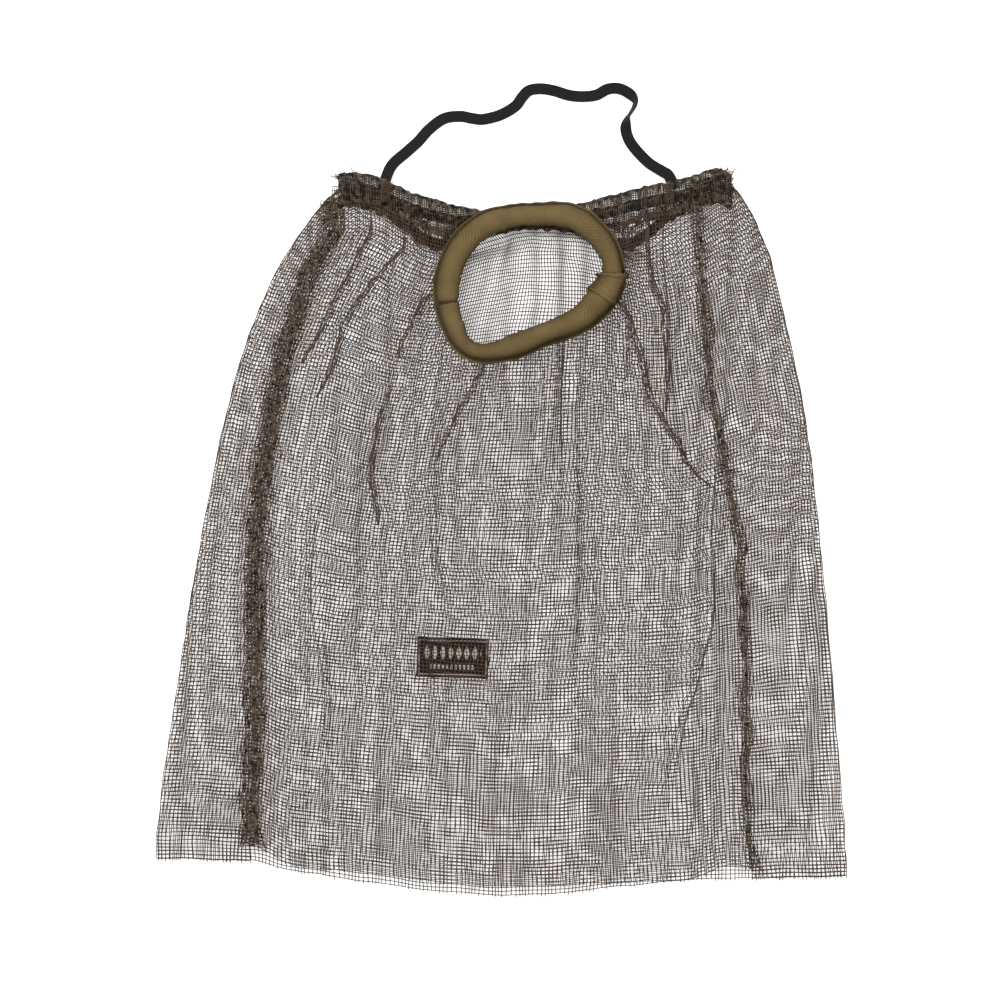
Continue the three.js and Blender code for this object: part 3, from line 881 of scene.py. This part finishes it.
def seam_piece(side, seam, wide, columns, layers):
    """A seam's two bands, so many layers of them, each wide metres and a number of crossings across."""
    pieces = {}
    grids = [seam_grid(seam, wide, columns, layer, 60 + 7 * layer) for layer in range(layers)]
    for part in ("upper", "lower"):
        lines = []
        for grid in grids:
            row = int(np.abs(grid[:, 0, 1] - FOLD).argmin())
            cut = grid[:row + 1] if part == "upper" else grid[row:]
            lines += yarns(cut, None, (True, part == "lower"), SEAM_TAILS if part == "lower" else 0)
        # the seam bands' finish carries painted shade and painted highlight
        pieces[part] = net_of(f"{side}_seam_band_{part}", lines, netting_lapped_painted_light)
    return pieces


seam_bands = {
    "left": seam_piece("left", left_seam, 14 * MM, 7, 3),
    "right": seam_piece("right", right_seam, 7 * MM, 4, 2),
}

# %% [markdown]
# ## Stitches
# Sewing thread shows as short dashes, each of which rises out of the cloth, runs along it and dives back
# in. A dashed line in the cloth's material would lie flat. A row of stitches is a list of such short
# curves, swept like the yarns.

# %% Rows of stitches
STITCH_ARCH = np.array([-0.35, 0.12, 0.3, 0.12, -0.35]) * MM      # how high the thread runs along a stitch
OVER_BAND = 3.9 * MM
LEFT_ROWS = (-2.2, 2.2)                                           # where the left seam's two rows run, in mm


def stitch_row(points, length, gap):
    """Short arched lines along a path of points."""
    steps = np.r_[0, np.cumsum(np.linalg.norm(np.diff(points, axis=0), axis=1))]
    for start in np.arange(0, steps[-1] - length, length + gap):
        spots = start + np.linspace(0, length, len(STITCH_ARCH))
        line = np.array([np.interp(spots, steps, points[:, axis]) for axis in range(3)]).T
        line[:, 2] += STITCH_ARCH
        yield line


def seam_path(seam, part):
    """A line of points down the middle of a seam, over its band."""
    y_side = np.linspace(side_top, side_hem, 160)
    middle = seam(y_side)
    top = front_crown(seam(side_top)) - CASING_DEPTH
    y = top + (front_hem(middle) - top) * np.linspace(0, 1, len(y_side))
    path = np.c_[middle, y, front_height(middle, y_side) + OVER_BAND]
    return path[y >= FOLD] if part == "upper" else path[y <= FOLD + 3 * MM]


seam_stitches = {}
for side, seam in (("left", left_seam), ("right", right_seam)):
    for part in ("upper", "lower"):
        path = seam_path(seam, part)
        lines = []
        for shift in LEFT_ROWS if side == "left" else (0.0,):
            lines += stitch_row(path + [shift * MM, 0, 0], 2.6 * MM, 1.1 * MM)
        seam_stitches[side, part] = thread_of(f"{side}_seam_stitches_{part}", lines)

# %% [markdown]
# ## Casings
# A casing is netting folded into a flat tunnel and gathered on the elastic inside. Ruffles could be
# simulated by shortening an elastic, but the yarns are too fine for that. Here the section is a flat loop,
# its yarns run closely along it, and the gathers are small ruffles that push the loop about. At the face
# opening the front casing is cut away, and at both top corners its raw netting frays.

# %% Gathered tunnels
def casing_piece(name, crown, seed, columns, rows):
    """A casing as a loop of that many rows of crossings, columns long."""
    x = np.linspace(CASING_LEFT, CASING_RIGHT, columns)[None, :]
    turn = np.linspace(0, 2 * math.pi, rows)[:, None]
    ruffle = wander(seed, 7, x / 0.0085)
    second = wander(seed + 1, 7, x / 0.014, turn / 5)
    ends = smoothstep(np.abs(x - (CASING_LEFT + CASING_RIGHT) / 2), 0.1, 0.14)
    deep = NETTED[name] - (RAISED * behind_ring(x) if name == "back" else 0)
    depth = deep / 2 * (1 + 0.05 * second)
    flat = np.sign(np.cos(turn)) * np.abs(np.cos(turn)) ** 0.6
    y = crown(x) - deep / 2 + depth * flat + 0.9 * MM * ruffle * (1 - 0.5 * flat)
    half = (1.15 + 0.5 * ends + 0.35 * second) * MM
    pressed = smoothstep(outside_ring(x, crown(x)), 4 * MM, 26 * MM) if name == "front" else 0.5
    lump = (0.85 + 0.9 * ends) * MM * ruffle * pressed
    z = CASING_UP[name] + half * np.sin(turn) + lump * (0.6 + 0.4 * np.sin(turn))
    sway = 1.5 * MM * wander(seed + 2, 7, x / 0.011, np.sin(turn) * 0.4 + y / 0.05)
    grid = np.dstack([x + sway, y, np.maximum(z, FLOOR_CLEAR)])
    kept = outside_ring(grid[:, :, 0], grid[:, :, 1]) > 0 if name == "front" else None
    lines = list(yarns(grid, kept, (True, False)))
    if name == "front":
        lines += frayed_ends(np.random.default_rng(seed + 5))
    # the casing's finish carries painted shade and painted highlight
    return net_of(f"{name}_casing_netting", lines, netting_gathered_painted_light, tall=YARN)


FRAYED = ((CASING_LEFT, -1, 46), (CASING_RIGHT, 1, 70))     # each corner, which way is out, how many ends
FRAY_RISE = 5 * MM                                          # how far above the crown they may stand


def frayed_ends(random):
    """Loose bent yarn ends that stand out of the raw netting at both top corners."""
    for corner, outwards, number in FRAYED:
        for _ in range(number):
            x = corner - outwards * random.uniform(-1, 16) * MM
            down = random.uniform(0, 15)
            start = np.array([x, front_crown(x) - down * MM, random.uniform(3, 9) * MM])
            lean = random.uniform((0.1, 0.1, -0.2), (1.0, 1.0, 0.5)) * (outwards, 1, 1)
            if down > 5:
                lean[1] *= 0.3
            reach = random.uniform(3, 7) * MM
            curl = np.array([-lean[1], lean[0], 0.2]) * random.uniform(-0.6, 0.6)
            steps = np.linspace(0, 1, 5)[:, None]
            line = start + (lean * steps + curl * steps ** 2) * reach
            line[:, 1] = np.minimum(line[:, 1], front_crown(x) + FRAY_RISE)
            yield line


front_casing = casing_piece("front", front_crown, 71, 205, 42)
back_casing = casing_piece("back", back_crown, 81, 140, 17)

# %% [markdown]
# Each casing is closed by one row of stitches near its lower edge. It is sewn before the face opening is
# cut, so the front row stops at the ring on both sides.

# %% Casing stitches
STITCHED_ABOVE = 3 * MM          # the stitches run this far above the casing's lower edge
STITCHED_INSIDE = 2 * MM

casing_stitches = {}
for name, crown in (("front", front_crown), ("back", back_crown)):
    x = np.linspace(CASING_LEFT + STITCHED_INSIDE, CASING_RIGHT - STITCHED_INSIDE, 200)
    y = crown(x) - NETTED[name] + STITCHED_ABOVE + (RAISED * behind_ring(x) if name == "back" else 0)
    path = np.c_[x, y, np.full_like(x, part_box(f"{name}_casing_thread")[1].z)]
    lines = stitch_row(path, 2.2 * MM, 1.0 * MM)
    if name == "front":
        lines = [line for line in lines if outside_ring(line[0, 0], line[0, 1]) > 0]
    casing_stitches[name] = thread_of(f"{name}_casing_stitches", lines)

# %% [markdown]
# ## Skins
# The elastic, the ring's cover and the label are cloth with a real surface. A curve with a bevel would make
# a strap too, but not a ring whose fullness changes. Each starts as a grid with a UV map, which is then
# laid along its path, so that the weave in the material follows the piece. A modifier gives it its
# thickness.

# %% A grid laid out as a surface
def skin(name, along, around, place, material, closed=False):
    """A grid of along by around cells, put where place(u, v) says, with u along and v around from 0 to 1."""
    shape = bmesh.new()
    shape.loops.layers.uv.new("UVMap")
    bmesh.ops.create_grid(shape, x_segments=along, y_segments=around, size=0.5, calc_uvs=True)
    flat = np.array([vertex.co for vertex in shape.verts]) + 0.5
    laid = place(flat[:, 0], flat[:, 1])
    for vertex, spot in zip(shape.verts, laid):
        vertex.co = spot
    if closed:
        bmesh.ops.remove_doubles(shape, verts=shape.verts, dist=MERGE)
        bmesh.ops.recalc_face_normals(shape, faces=shape.faces)
    mesh = bpy.data.meshes.new(name)
    shape.to_mesh(mesh)
    shape.free()
    return shown(name, mesh, material)


def thickened(piece, thick, bevel=0.0):
    wall = piece.modifiers.new("thickness", "SOLIDIFY")
    wall.thickness = thick
    wall.offset = 0
    if bevel:
        edge = piece.modifiers.new("soft edge", "BEVEL")
        edge.width = bevel
        edge.segments = 2
        edge.limit_method = "ANGLE"
    return piece


LOOK_ALONG = 1.5 * MM     # a path's direction is taken between two points this far each way


def along_path(points, share):
    """Points and directions at those shares of a path's length."""
    steps = np.r_[0, np.cumsum(np.linalg.norm(np.diff(points, axis=0), axis=1))]
    at = np.clip(share, 0, 1) * steps[-1]
    spots, ahead, behind = (np.array([np.interp(place, steps, points[:, axis]) for axis in range(3)]).T
                            for place in (at, at + LOOK_ALONG, at - LOOK_ALONG))
    heading = ahead - behind
    return spots, heading / np.linalg.norm(heading, axis=1)[:, None]


# %% [markdown]
# ## Elastic loop
# The loop is 8 mm knitted elastic. It lies flat on the surface where it has come to rest, and stands on
# edge at one place where it has a twist in it. A cloth simulation would not come to rest in these bends, so
# the route is a list of points, the same as the CAD's, and the band is tilted along it by a rule.

# %% The loop
STRAP_WIDTH = 8 * MM
STRAP_THICK = 1.1 * MM
STRAP_ROUTE = np.array([
    (-82.6, 252, 5.6), (-78.1, 262, 3), (-68.3, 271, 1.2), (-60, 278.5, 1), (-51.8, 287.5, 1),
    (-41.2, 295, 1), (-29.7, 296.6, 1), (-21.6, 295.2, 1), (-13.4, 294.5, 1), (-1, 297.7, 1),
    (9.6, 303.9, 1), (14.5, 310.4, 1), (19.4, 315, 1), (27.6, 316.3, 1), (37.1, 314.9, 1),
    (47.2, 311.8, 1), (57.2, 310.7, 1), (67.2, 311.8, 1), (75.3, 315.9, 1), (83.2, 316.4, 1),
    (90.2, 313.3, 1), (94.7, 307.8, 1), (94.4, 303.6, 1), (91.7, 298.8, 1), (89, 294.3, 1),
    (88.4, 286.8, 1), (91.2, 278.7, 1.2), (97.2, 270.8, 1.6), (105.2, 262.8, 2.6), (114.3, 257, 4.4),
    (119, 253.4, 5.6),
]) * MM
SLIPPED_IN = np.array([(-84.5, 242.8, 6.2), (122.5, 244.2, 6.2)]) * MM      # its ends, hidden in the casing
strap_path = smooth_path(np.array([SLIPPED_IN[0], *STRAP_ROUTE, SLIPPED_IN[1]]), 380)
STRAP_LENGTH = float(np.linalg.norm(np.diff(strap_path, axis=0), axis=1).sum())
TWIST_AT = (0.715, 0.8)          # the stretch that stands on edge, as shares of the length
ON_EDGE = math.radians(78)
WOBBLE = math.radians(7)
SUNKEN = 0.3 * MM
MIDDLE_POINTS = 121


def lay_strap(u, v):
    spots, heading = along_path(strap_path, u)
    level = np.cross([0, 0, 1], heading)
    level /= np.linalg.norm(level, axis=1)[:, None]
    middle, half = sum(TWIST_AT) / 2, (TWIST_AT[1] - TWIST_AT[0]) / 2
    on_edge = 1 - smoothstep(np.abs(u - middle), half * 0.35, half * 1.35)
    lean = ON_EDGE * on_edge + WOBBLE * wander(90, 4, u * 7)
    width = STRAP_WIDTH * (v - 0.5)
    up = np.array([0, 0, 1.0])
    out = spots + level * (width * np.cos(lean))[:, None] + up * (width * np.sin(lean))[:, None]
    out[:, 2] += STRAP_WIDTH / 2 * np.abs(np.sin(lean)) - SUNKEN
    return out


strap_middle = lay_strap(np.linspace(0, 1, MIDDLE_POINTS), np.full(MIDDLE_POINTS, 0.5))
strap = skin("elastic_loop", 420, 6, lay_strap, elastic_finish("elastic_loop", STRAP_LENGTH))
thickened(strap, STRAP_THICK, 0.25 * MM)
print("loop length, mm:", round(STRAP_LENGTH / MM))

# %% [markdown]
# Inside each casing the elastic runs from end to end and shows darkly through the gathers. A plain band
# would do for that, but its edge is seen beside the ring, so it gets the loop's knit and waves a little as
# it goes.

# %% Elastic in the casings
ELASTIC_THICK = 0.9 * MM


def casing_elastic(name, crown, seed):
    low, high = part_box(f"{name}_elastic")

    def lay(u, v):
        x = low.x + (high.x - low.x) * u
        y = crown(x) - CASING_DEPTH / 2 + RAISED * behind_ring(x) + STRAP_WIDTH * (v - 0.5)
        z = CASING_UP[name] + 0.35 * MM * wander(seed, 6, x / 0.013)
        return np.c_[x, y, z]

    long = high.x - low.x
    band = skin(f"{name}_casing_elastic", 300, 4, lay, elastic_finish(f"{name}_casing_elastic", long))
    return thickened(band, ELASTIC_THICK)


casing_elastics = {
    "front": casing_elastic("front", front_crown, 91),
    "back": casing_elastic("back", back_crown, 95),
}

# %% [markdown]
# Where the loop goes into the casing, a small fold of netting is sewn over it. It is only a few crossings
# wide, so it is woven like the panels, as two layers that stand up a little along their middle.

# %% Tabs where the loop goes in
def tab_piece(side):
    v = np.linspace(0, 1, 7)[:, None]
    across = np.linspace(-1, 1, 6)[None, :]
    low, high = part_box(f"strap_tab_{side}")
    ridge = (1 - across ** 2) * 1.1 * MM
    lines = []
    for layer in (0, 1):
        x = (low.x + high.x) / 2 + across * (3.1 - 0.5 * layer) * MM
        y = high.y - (high.y - low.y) * v + across * 0.4 * MM
        z = low.z + 0.5 * MM + ridge + layer * 0.9 * MM
        lines += yarns(np.dstack(np.broadcast_arrays(x, y, z)))
    return net_of(f"loop_tab_{side}", lines)


tabs = {side: tab_piece(side) for side in ("left", "right")}

# %% [markdown]
# ## Face ring
# A strip of olive twill is rolled round a foam cord and sewn down, with a narrow flange outside it. The
# tube is fuller in some places than in others, the cloth puckers on the inside of the bends, and it creases
# where the strip is tacked. A bevelled curve or a torus would be evenly round. The cover is a closed skin
# carried round the ring's line, and the foam inside is a second one, a cloth's thickness smaller.

# %% The ring's core and cover
RING_WIDTH = 17 * MM
RING_AROUND = 44
RING_ALONG = 520
LAP_ANGLE = math.radians(2)
TACK_ANGLE = math.radians(193)
NUDGE = 0.02              # radians each way between which the line's direction is taken
CLOTH = 1.6 * MM


def on_ring(angle):
    return ring_centre + np.c_[np.cos(angle), np.sin(angle)] * ring_radius(angle)[:, None]


def ring_frame(angle):
    """Points on the ring's line at those angles, and the directions outwards from the tube."""
    along = on_ring(angle + NUDGE) - on_ring(angle - NUDGE)
    along /= np.linalg.norm(along, axis=1)[:, None]
    return on_ring(angle), np.c_[along[:, 1], -along[:, 0]]


RING_GIRTH = [
    (-180, 0.95), (-165, 0.88), (-150, 0.78), (-136, 0.62), (-122, 0.68), (-105, 0.9), (-90, 0.86),
    (-75, 0.79), (-60, 0.84), (-38, 0.95), (-18, 1.08), (-4, 1.06), (6, 0.86), (15, 0.76), (30, 0.88),
    (50, 0.97), (75, 0.84), (105, 0.83), (120, 0.91), (157, 0.98),
]                         # how full the tube is at each angle, in degrees


def girth(angle):
    degrees, factors = zip(*RING_GIRTH)
    return np.interp(np.degrees(angle), degrees, factors, period=360)


def near_angle(angle, at, half):
    """1 at one angle, falling to 0 over about half radians each way."""
    away = (angle - at + math.pi) % (2 * math.pi) - math.pi
    return np.exp(-(away / half) ** 2)


def on_tube(angle, turn, shape, half=RING_HALF):
    """Points at those angles round the ring and turns round the tube, shape away from the tube's middle. half
    is the height that a full tube has above its middle."""
    spot, outwards = ring_frame(angle)
    full = girth(angle)
    side = np.cos(turn) * shape
    high = np.sin(turn) * (half / (RING_WIDTH / 2)) * (shape / full) * (0.75 + 0.25 * full)
    return np.c_[spot + outwards * side[:, None], RING_UP + high]


def lay_cover(u, v):
    angle = LAP_ANGLE + u * 2 * math.pi
    turn = -math.pi / 2 - v * 2 * math.pi
    inner = np.clip(-np.cos(turn), 0, 1)
    wrap = np.cos(angle) * 3, np.sin(angle) * 3
    pucker = inner ** 1.5 * 0.42 * MM * wander(101, 8, wrap[0] * 3.2, wrap[1] * 3.2)
    crumple = 0.28 * MM * wander(102, 9, wrap[0] * 1.6, wrap[1] * 1.6, np.sin(turn) * 0.5)
    crease = near_angle(angle, TACK_ANGLE, 0.022) * (1.5 + 0.5 * np.cos(turn)) * MM
    return on_tube(angle, turn, RING_WIDTH / 2 * girth(angle) - crease + pucker + crumple)


def lay_core(u, v):
    """The foam cord inside, a cloth's thickness smaller than its cover."""
    angle = u * 2 * math.pi
    turn = -v * 2 * math.pi
    radius = RING_WIDTH / 2 * girth(angle) - CLOTH - 1.8 * MM * near_angle(angle, TACK_ANGLE, 0.03)
    return on_tube(angle, turn, radius, RING_HALF - 1.4 * MM)


core = skin("ring_foam", 200, 20, lay_core, foam, closed=True)
ring_length = 2 * math.pi * ring_radii.mean() * 1.06
cover = skin("ring_cover_twill", RING_ALONG, RING_AROUND, lay_cover,
             twill_finish("ring_twill", ring_length, math.pi * 15 * MM), closed=True)
print("length round the ring, mm:", round(ring_length / MM))

# %% [markdown]
# The flange is the seam allowance of the cover: a flat strip that shows a few millimetres outside the tube,
# with a row of stitches in a shallow groove. It could be pulled out of the cover's own mesh, but it lies
# lower and has an edge of its own, so it is a separate strip that starts under the tube.

# %% The flange and its stitches
FLANGE_OUT = 3.0 * MM
FLANGE_UNDER = 3.5 * MM
FLANGE_THICK = 1.0 * MM
STITCHED_OUT = 0.42       # where the stitches run, as a share of what shows
RING_STITCHES = 721


def lay_flange(u, v):
    angle = LAP_ANGLE + u * 2 * math.pi
    spot, outwards = ring_frame(angle)
    edge = RING_WIDTH / 2 * girth(angle)
    inside = edge - FLANGE_UNDER
    outside = edge + FLANGE_OUT + 0.35 * MM * wander(111, 6, np.cos(angle) * 4, np.sin(angle) * 4)
    out = inside + (outside - inside) * v
    groove = np.exp(-((v - 0.78) / 0.07) ** 2) * 0.5 * MM
    low, high = (corner.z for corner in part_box("ring_flange"))
    roll = smoothstep(v, 0.82, 1.0) * 0.35 * MM
    wave = 0.25 * MM * wander(112, 6, np.cos(angle) * 5, np.sin(angle) * 5)
    up = (low + high) / 2 + 0.5 * MM - groove + roll + wave
    return np.c_[spot + outwards * out[:, None], up]


# the flange's painted shade darkens it near the tube, in its groove, and leaves its rim light
flange = skin("ring_flange_twill", RING_ALONG, 22, lay_flange,
              twill_finish("flange_twill", ring_length, 8 * MM, crown_at=0.92, reach=0.17), closed=True)
thickened(flange, FLANGE_THICK, 0.2 * MM)

ring_turn = np.linspace(0, 2 * math.pi, RING_STITCHES)
ring_spot, ring_out = ring_frame(ring_turn)
stitch_at = RING_WIDTH / 2 * girth(ring_turn) + FLANGE_OUT * STITCHED_OUT
flange_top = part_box("ring_flange")[1].z + 0.2 * MM
stitch_path = np.c_[ring_spot + ring_out * stitch_at[:, None], np.full(RING_STITCHES, flange_top)]
flange_stitches = thread_of("ring_stitches", stitch_row(stitch_path, 2.4 * MM, 0.9 * MM))

# %% [markdown]
# The cover's two ends overlap at the right of the ring. One end lies over the tube as a saddle with a
# turned edge, and stitches across it hold it down. On the left a tack pinches the cover into a crease. Both
# could be modelled into the cover, but a lap is a second layer, with a step that catches the light, so it
# is a skin of its own. The tack's stitches lie in the crease that the cover already has.

# %% The lap and the tack
LAP_HALF = 0.15           # radians round the ring
LAP_THICK = 0.9 * MM


def lay_lap(u, v):
    along = (u - 0.5) * 2
    angle = LAP_ANGLE - 0.07 + along * LAP_HALF + 0.07 * (v - 0.5) + 0.012 * wander(120, 5, v * 4)
    turn = math.radians(200) - v * math.radians(228)
    edge = np.clip(np.abs(along) - 0.72, 0, 1) / 0.28
    turned = 1.05 + 1.5 * edge * (1 - edge) * 4
    shape = RING_WIDTH / 2 * np.maximum(girth(angle), 0.98 + 0.06 * along) + turned * MM
    return on_tube(angle, turn, shape + 0.4 * MM * wander(121, 7, along * 1.2, turn * 0.7))


lap = skin("ring_lap_twill", 40, 60, lay_lap, twill_finish("lap_twill", 16 * MM, 34 * MM, -1.0))
thickened(lap, LAP_THICK, 0.2 * MM)


def over_ring(angle, lift, turns):
    """A line of points over the tube at one angle, from the first of the turns to the last, in degrees."""
    turn = np.radians(np.linspace(*turns, 60))
    angles = np.full(len(turn), angle)
    return on_tube(angles, turn, RING_WIDTH / 2 * girth(angles) + lift)


tack_lines = []
for shift in (-0.012, 0.0, 0.012):
    path = over_ring(TACK_ANGLE + shift, -0.9 * MM, (178, 15))
    tack_lines += stitch_row(path, 2.8 * MM, 0.4 * MM)
for shift in (-0.085, 0.09):
    path = over_ring(LAP_ANGLE + shift, 1.5 * MM, (170, 25))
    tack_lines += stitch_row(path, 2.0 * MM, 1.0 * MM)
tack = thread_of("ring_tack_stitches", tack_lines)

# %% [markdown]
# ## Label
# A small woven label is sewn inside the front and shows darkly through the netting. It carries only a plain
# border and two rows of simple motifs, which its material works out. Modelling each thread of the motifs
# would cost more triangles than the ring and not be seen.

# %% The label
label_low, label_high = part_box("label")
LABEL_WIDE, LABEL_TALL = 51 * MM, 28.5 * MM
LABEL_TURN = -0.028       # radians
LABEL_THICK = 0.6 * MM
LABEL_HEM = 2 * MM        # how far inside its edge it is stitched
label_middle = (label_low + label_high) / 2


def on_label(x, y, up):
    """A point in the label's own directions, turned and put where the label is."""
    cos, sin = math.cos(LABEL_TURN), math.sin(LABEL_TURN)
    return np.c_[label_middle.x + x * cos - y * sin, label_middle.y + x * sin + y * cos, up]


def lay_label(u, v):
    x, y = (u - 0.5) * LABEL_WIDE, (v - 0.5) * LABEL_TALL
    curl = 0.25 * MM * smoothstep(np.abs(v - 0.5), 0.42, 0.5)
    return on_label(x, y, label_middle.z + 0.35 * MM * wander(131, 5, x / 0.03, y / 0.03) + curl)


label = skin("woven_label", 60, 34, lay_label, label_finish(LABEL_TALL))
thickened(label, LABEL_THICK, 0.15 * MM)

frame_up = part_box("label_thread")[0].z + 0.4 * MM
box_corners = np.array([(-1, -1), (1, -1), (1, 1), (-1, 1), (-1, -1)])
box_x, box_y = (box_corners * [LABEL_WIDE / 2 - LABEL_HEM, LABEL_TALL / 2 - LABEL_HEM]).T
box_path = on_label(box_x, box_y, np.full(len(box_corners), frame_up))
label_stitches = thread_of("label_stitches", stitch_row(box_path, 2.0 * MM, 0.9 * MM))

# %% [markdown]
# ## Riding on the bodies
# The crown body carries the casings and the ring, and the skirt carries the label. The skirt turns up about
# the fold line. If each netting piece rode on one body, they would part there; the netting pieces, their
# seams and stitches and the loop are baked in place and ride on neither body. Every CAD solid is stood for
# by a piece.

# %% Bodies and replaced solids
joints = {joint["name"]: joint for joint in frame["joints"]}
fold_y = joints["skirt_lift"]["pos_m"][1]
BEND_START, BEND_END = (0, fold_y + 15 * MM, 0), (0, fold_y - 75 * MM, 0)
loop_y = joints["strap_swing"]["pos_m"][1]
LOOP_START, LOOP_END = (0, loop_y + 1.5 * MM, 0), (0, loop_y + 20 * MM, 0)


def bends(piece):
    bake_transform(piece)
    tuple(BEND_START)
    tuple(BEND_END)


def stands_for(piece, slot, *nodes):
    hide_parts(*nodes)


for part, piece in front_netting.items():
    bends(piece)
    stands_for(piece, "netting", f"front_net_{part}")
for (part, side), piece in back_netting.items():
    bends(piece)
    stands_for(piece, "netting", f"back_net_{part}")
for side, pieces in seam_bands.items():
    for part, piece in pieces.items():
        bends(piece)
        stands_for(piece, "netting", f"{side}_seam_{part}")
for (side, part), piece in seam_stitches.items():
    bends(piece)
    stands_for(piece, "thread", f"{side}_seam_thread_{part}")

crown_pieces = [
    (front_casing, "netting", "front_casing"), (back_casing, "netting", "back_casing"),
    (casing_stitches["front"], "thread", "front_casing_thread"),
    (casing_stitches["back"], "thread", "back_casing_thread"),
    (casing_elastics["front"], "elastic", "front_elastic"),
    (casing_elastics["back"], "elastic", "back_elastic"),
    (tabs["left"], "netting", "strap_tab_left"), (tabs["right"], "netting", "strap_tab_right"),
    (core, "padding", "ring_padding"), (cover, "twill", "ring_cover"),
    (flange, "twill", "ring_flange"), (flange_stitches, "thread", "ring_thread"),
    (lap, "twill", "ring_lap"), (tack, "thread", "ring_tack"),
]
for piece, slot, node in crown_pieces:
    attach(piece, "crown")
    stands_for(piece, slot, node)
for piece, slot, node in ((label, "label", "label"), (label_stitches, "thread", "label_thread")):
    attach(piece, "skirt")
    stands_for(piece, slot, node)
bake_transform(strap)
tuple(LOOP_START)
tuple(LOOP_END)
stands_for(strap, "elastic", "elastic_strap")

# %% [markdown]
# ## What is soft
# The middle line of the loop and the flat size of each front panel of netting before it was gathered are
# worked out here. A panel's flat size could be guessed from such veils, but here it follows from the netting
# itself: so many meshes, each a pitch wide.

# %% The loop's middle line and the panels' flat sizes
[tuple(float(x) for x in point) for point in strap_middle]
FRONT_CUT = (FRONT_COLUMNS - 1) * PITCH
OPENING = float(np.pi * (ring_radii - 2 * MM).mean() ** 2)
front_rows = {"upper": fold_row, "lower": FRONT_ROWS - 1 - fold_row}
for part, piece in front_netting.items():
    cut = FRONT_CUT, front_rows[part] * PITCH
    area = cut[0] * cut[1] - (OPENING if part == "upper" else 0)

# %% [markdown]
# ## Floor and light
# The veil lies on a white surface that gives off a little light itself, as a light table does, so the holes
# of the net stay bright. Stronger lamps could whiten the floor too, but they would bleach the yarn. Two
# large soft lights from above keep the shadows faint.

# %% Floor and light
FLOOR_GLOW = 0.66
FLOOR_SIZE = 15.0
WORLD_LIGHT = 0.5
KEY_POWER, FILL_POWER = 52, 20


def floor_finish():
    finish = Finish("floor")
    grain = finish.noise(30.0, 2.0)
    color = finish.mix(grain, (0.86, 0.86, 0.86), (0.89, 0.89, 0.89))
    finish.feed(finish.surface.inputs["Emission Color"], color)
    return finish.shine(color, 0.9, Emission_Strength=FLOOR_GLOW)


floor_shape = bmesh.new()
bmesh.ops.create_grid(floor_shape, x_segments=1, y_segments=1, size=FLOOR_SIZE)
floor_mesh = bpy.data.meshes.new("floor")
floor_shape.to_mesh(floor_mesh)
floor_shape.free()
floor = bpy.data.objects.new("floor", floor_mesh)
floor_mesh.materials.append(floor_finish())
floor.location.z = -0.1 * MM
bpy.context.collection.objects.link(floor)


def softbox(name, at, size, power):
    lamp = bpy.data.lights.new(name, "AREA")
    lamp.shape = "RECTANGLE"
    lamp.size, lamp.size_y = size
    lamp.energy = power
    holder = bpy.data.objects.new(name, lamp)
    holder.location = at
    holder.rotation_mode = "QUATERNION"
    holder.rotation_quaternion = Vector(at).to_track_quat("Z", "Y")
    bpy.context.collection.objects.link(holder)


softbox("key_light", (-0.9, 1.1, 1.9), (1.2, 1.2), KEY_POWER)
softbox("fill_light", (1.2, -0.7, 1.8), (1.6, 1.6), FILL_POWER)
world = bpy.data.worlds.new("studio")
world.use_nodes = True
world.node_tree.nodes["Background"].inputs["Color"].default_value = (1, 1, 1, 1)
world.node_tree.nodes["Background"].inputs["Strength"].default_value = WORLD_LIGHT
bpy.context.scene.world = world
bpy.context.scene.view_settings.view_transform = "Standard"
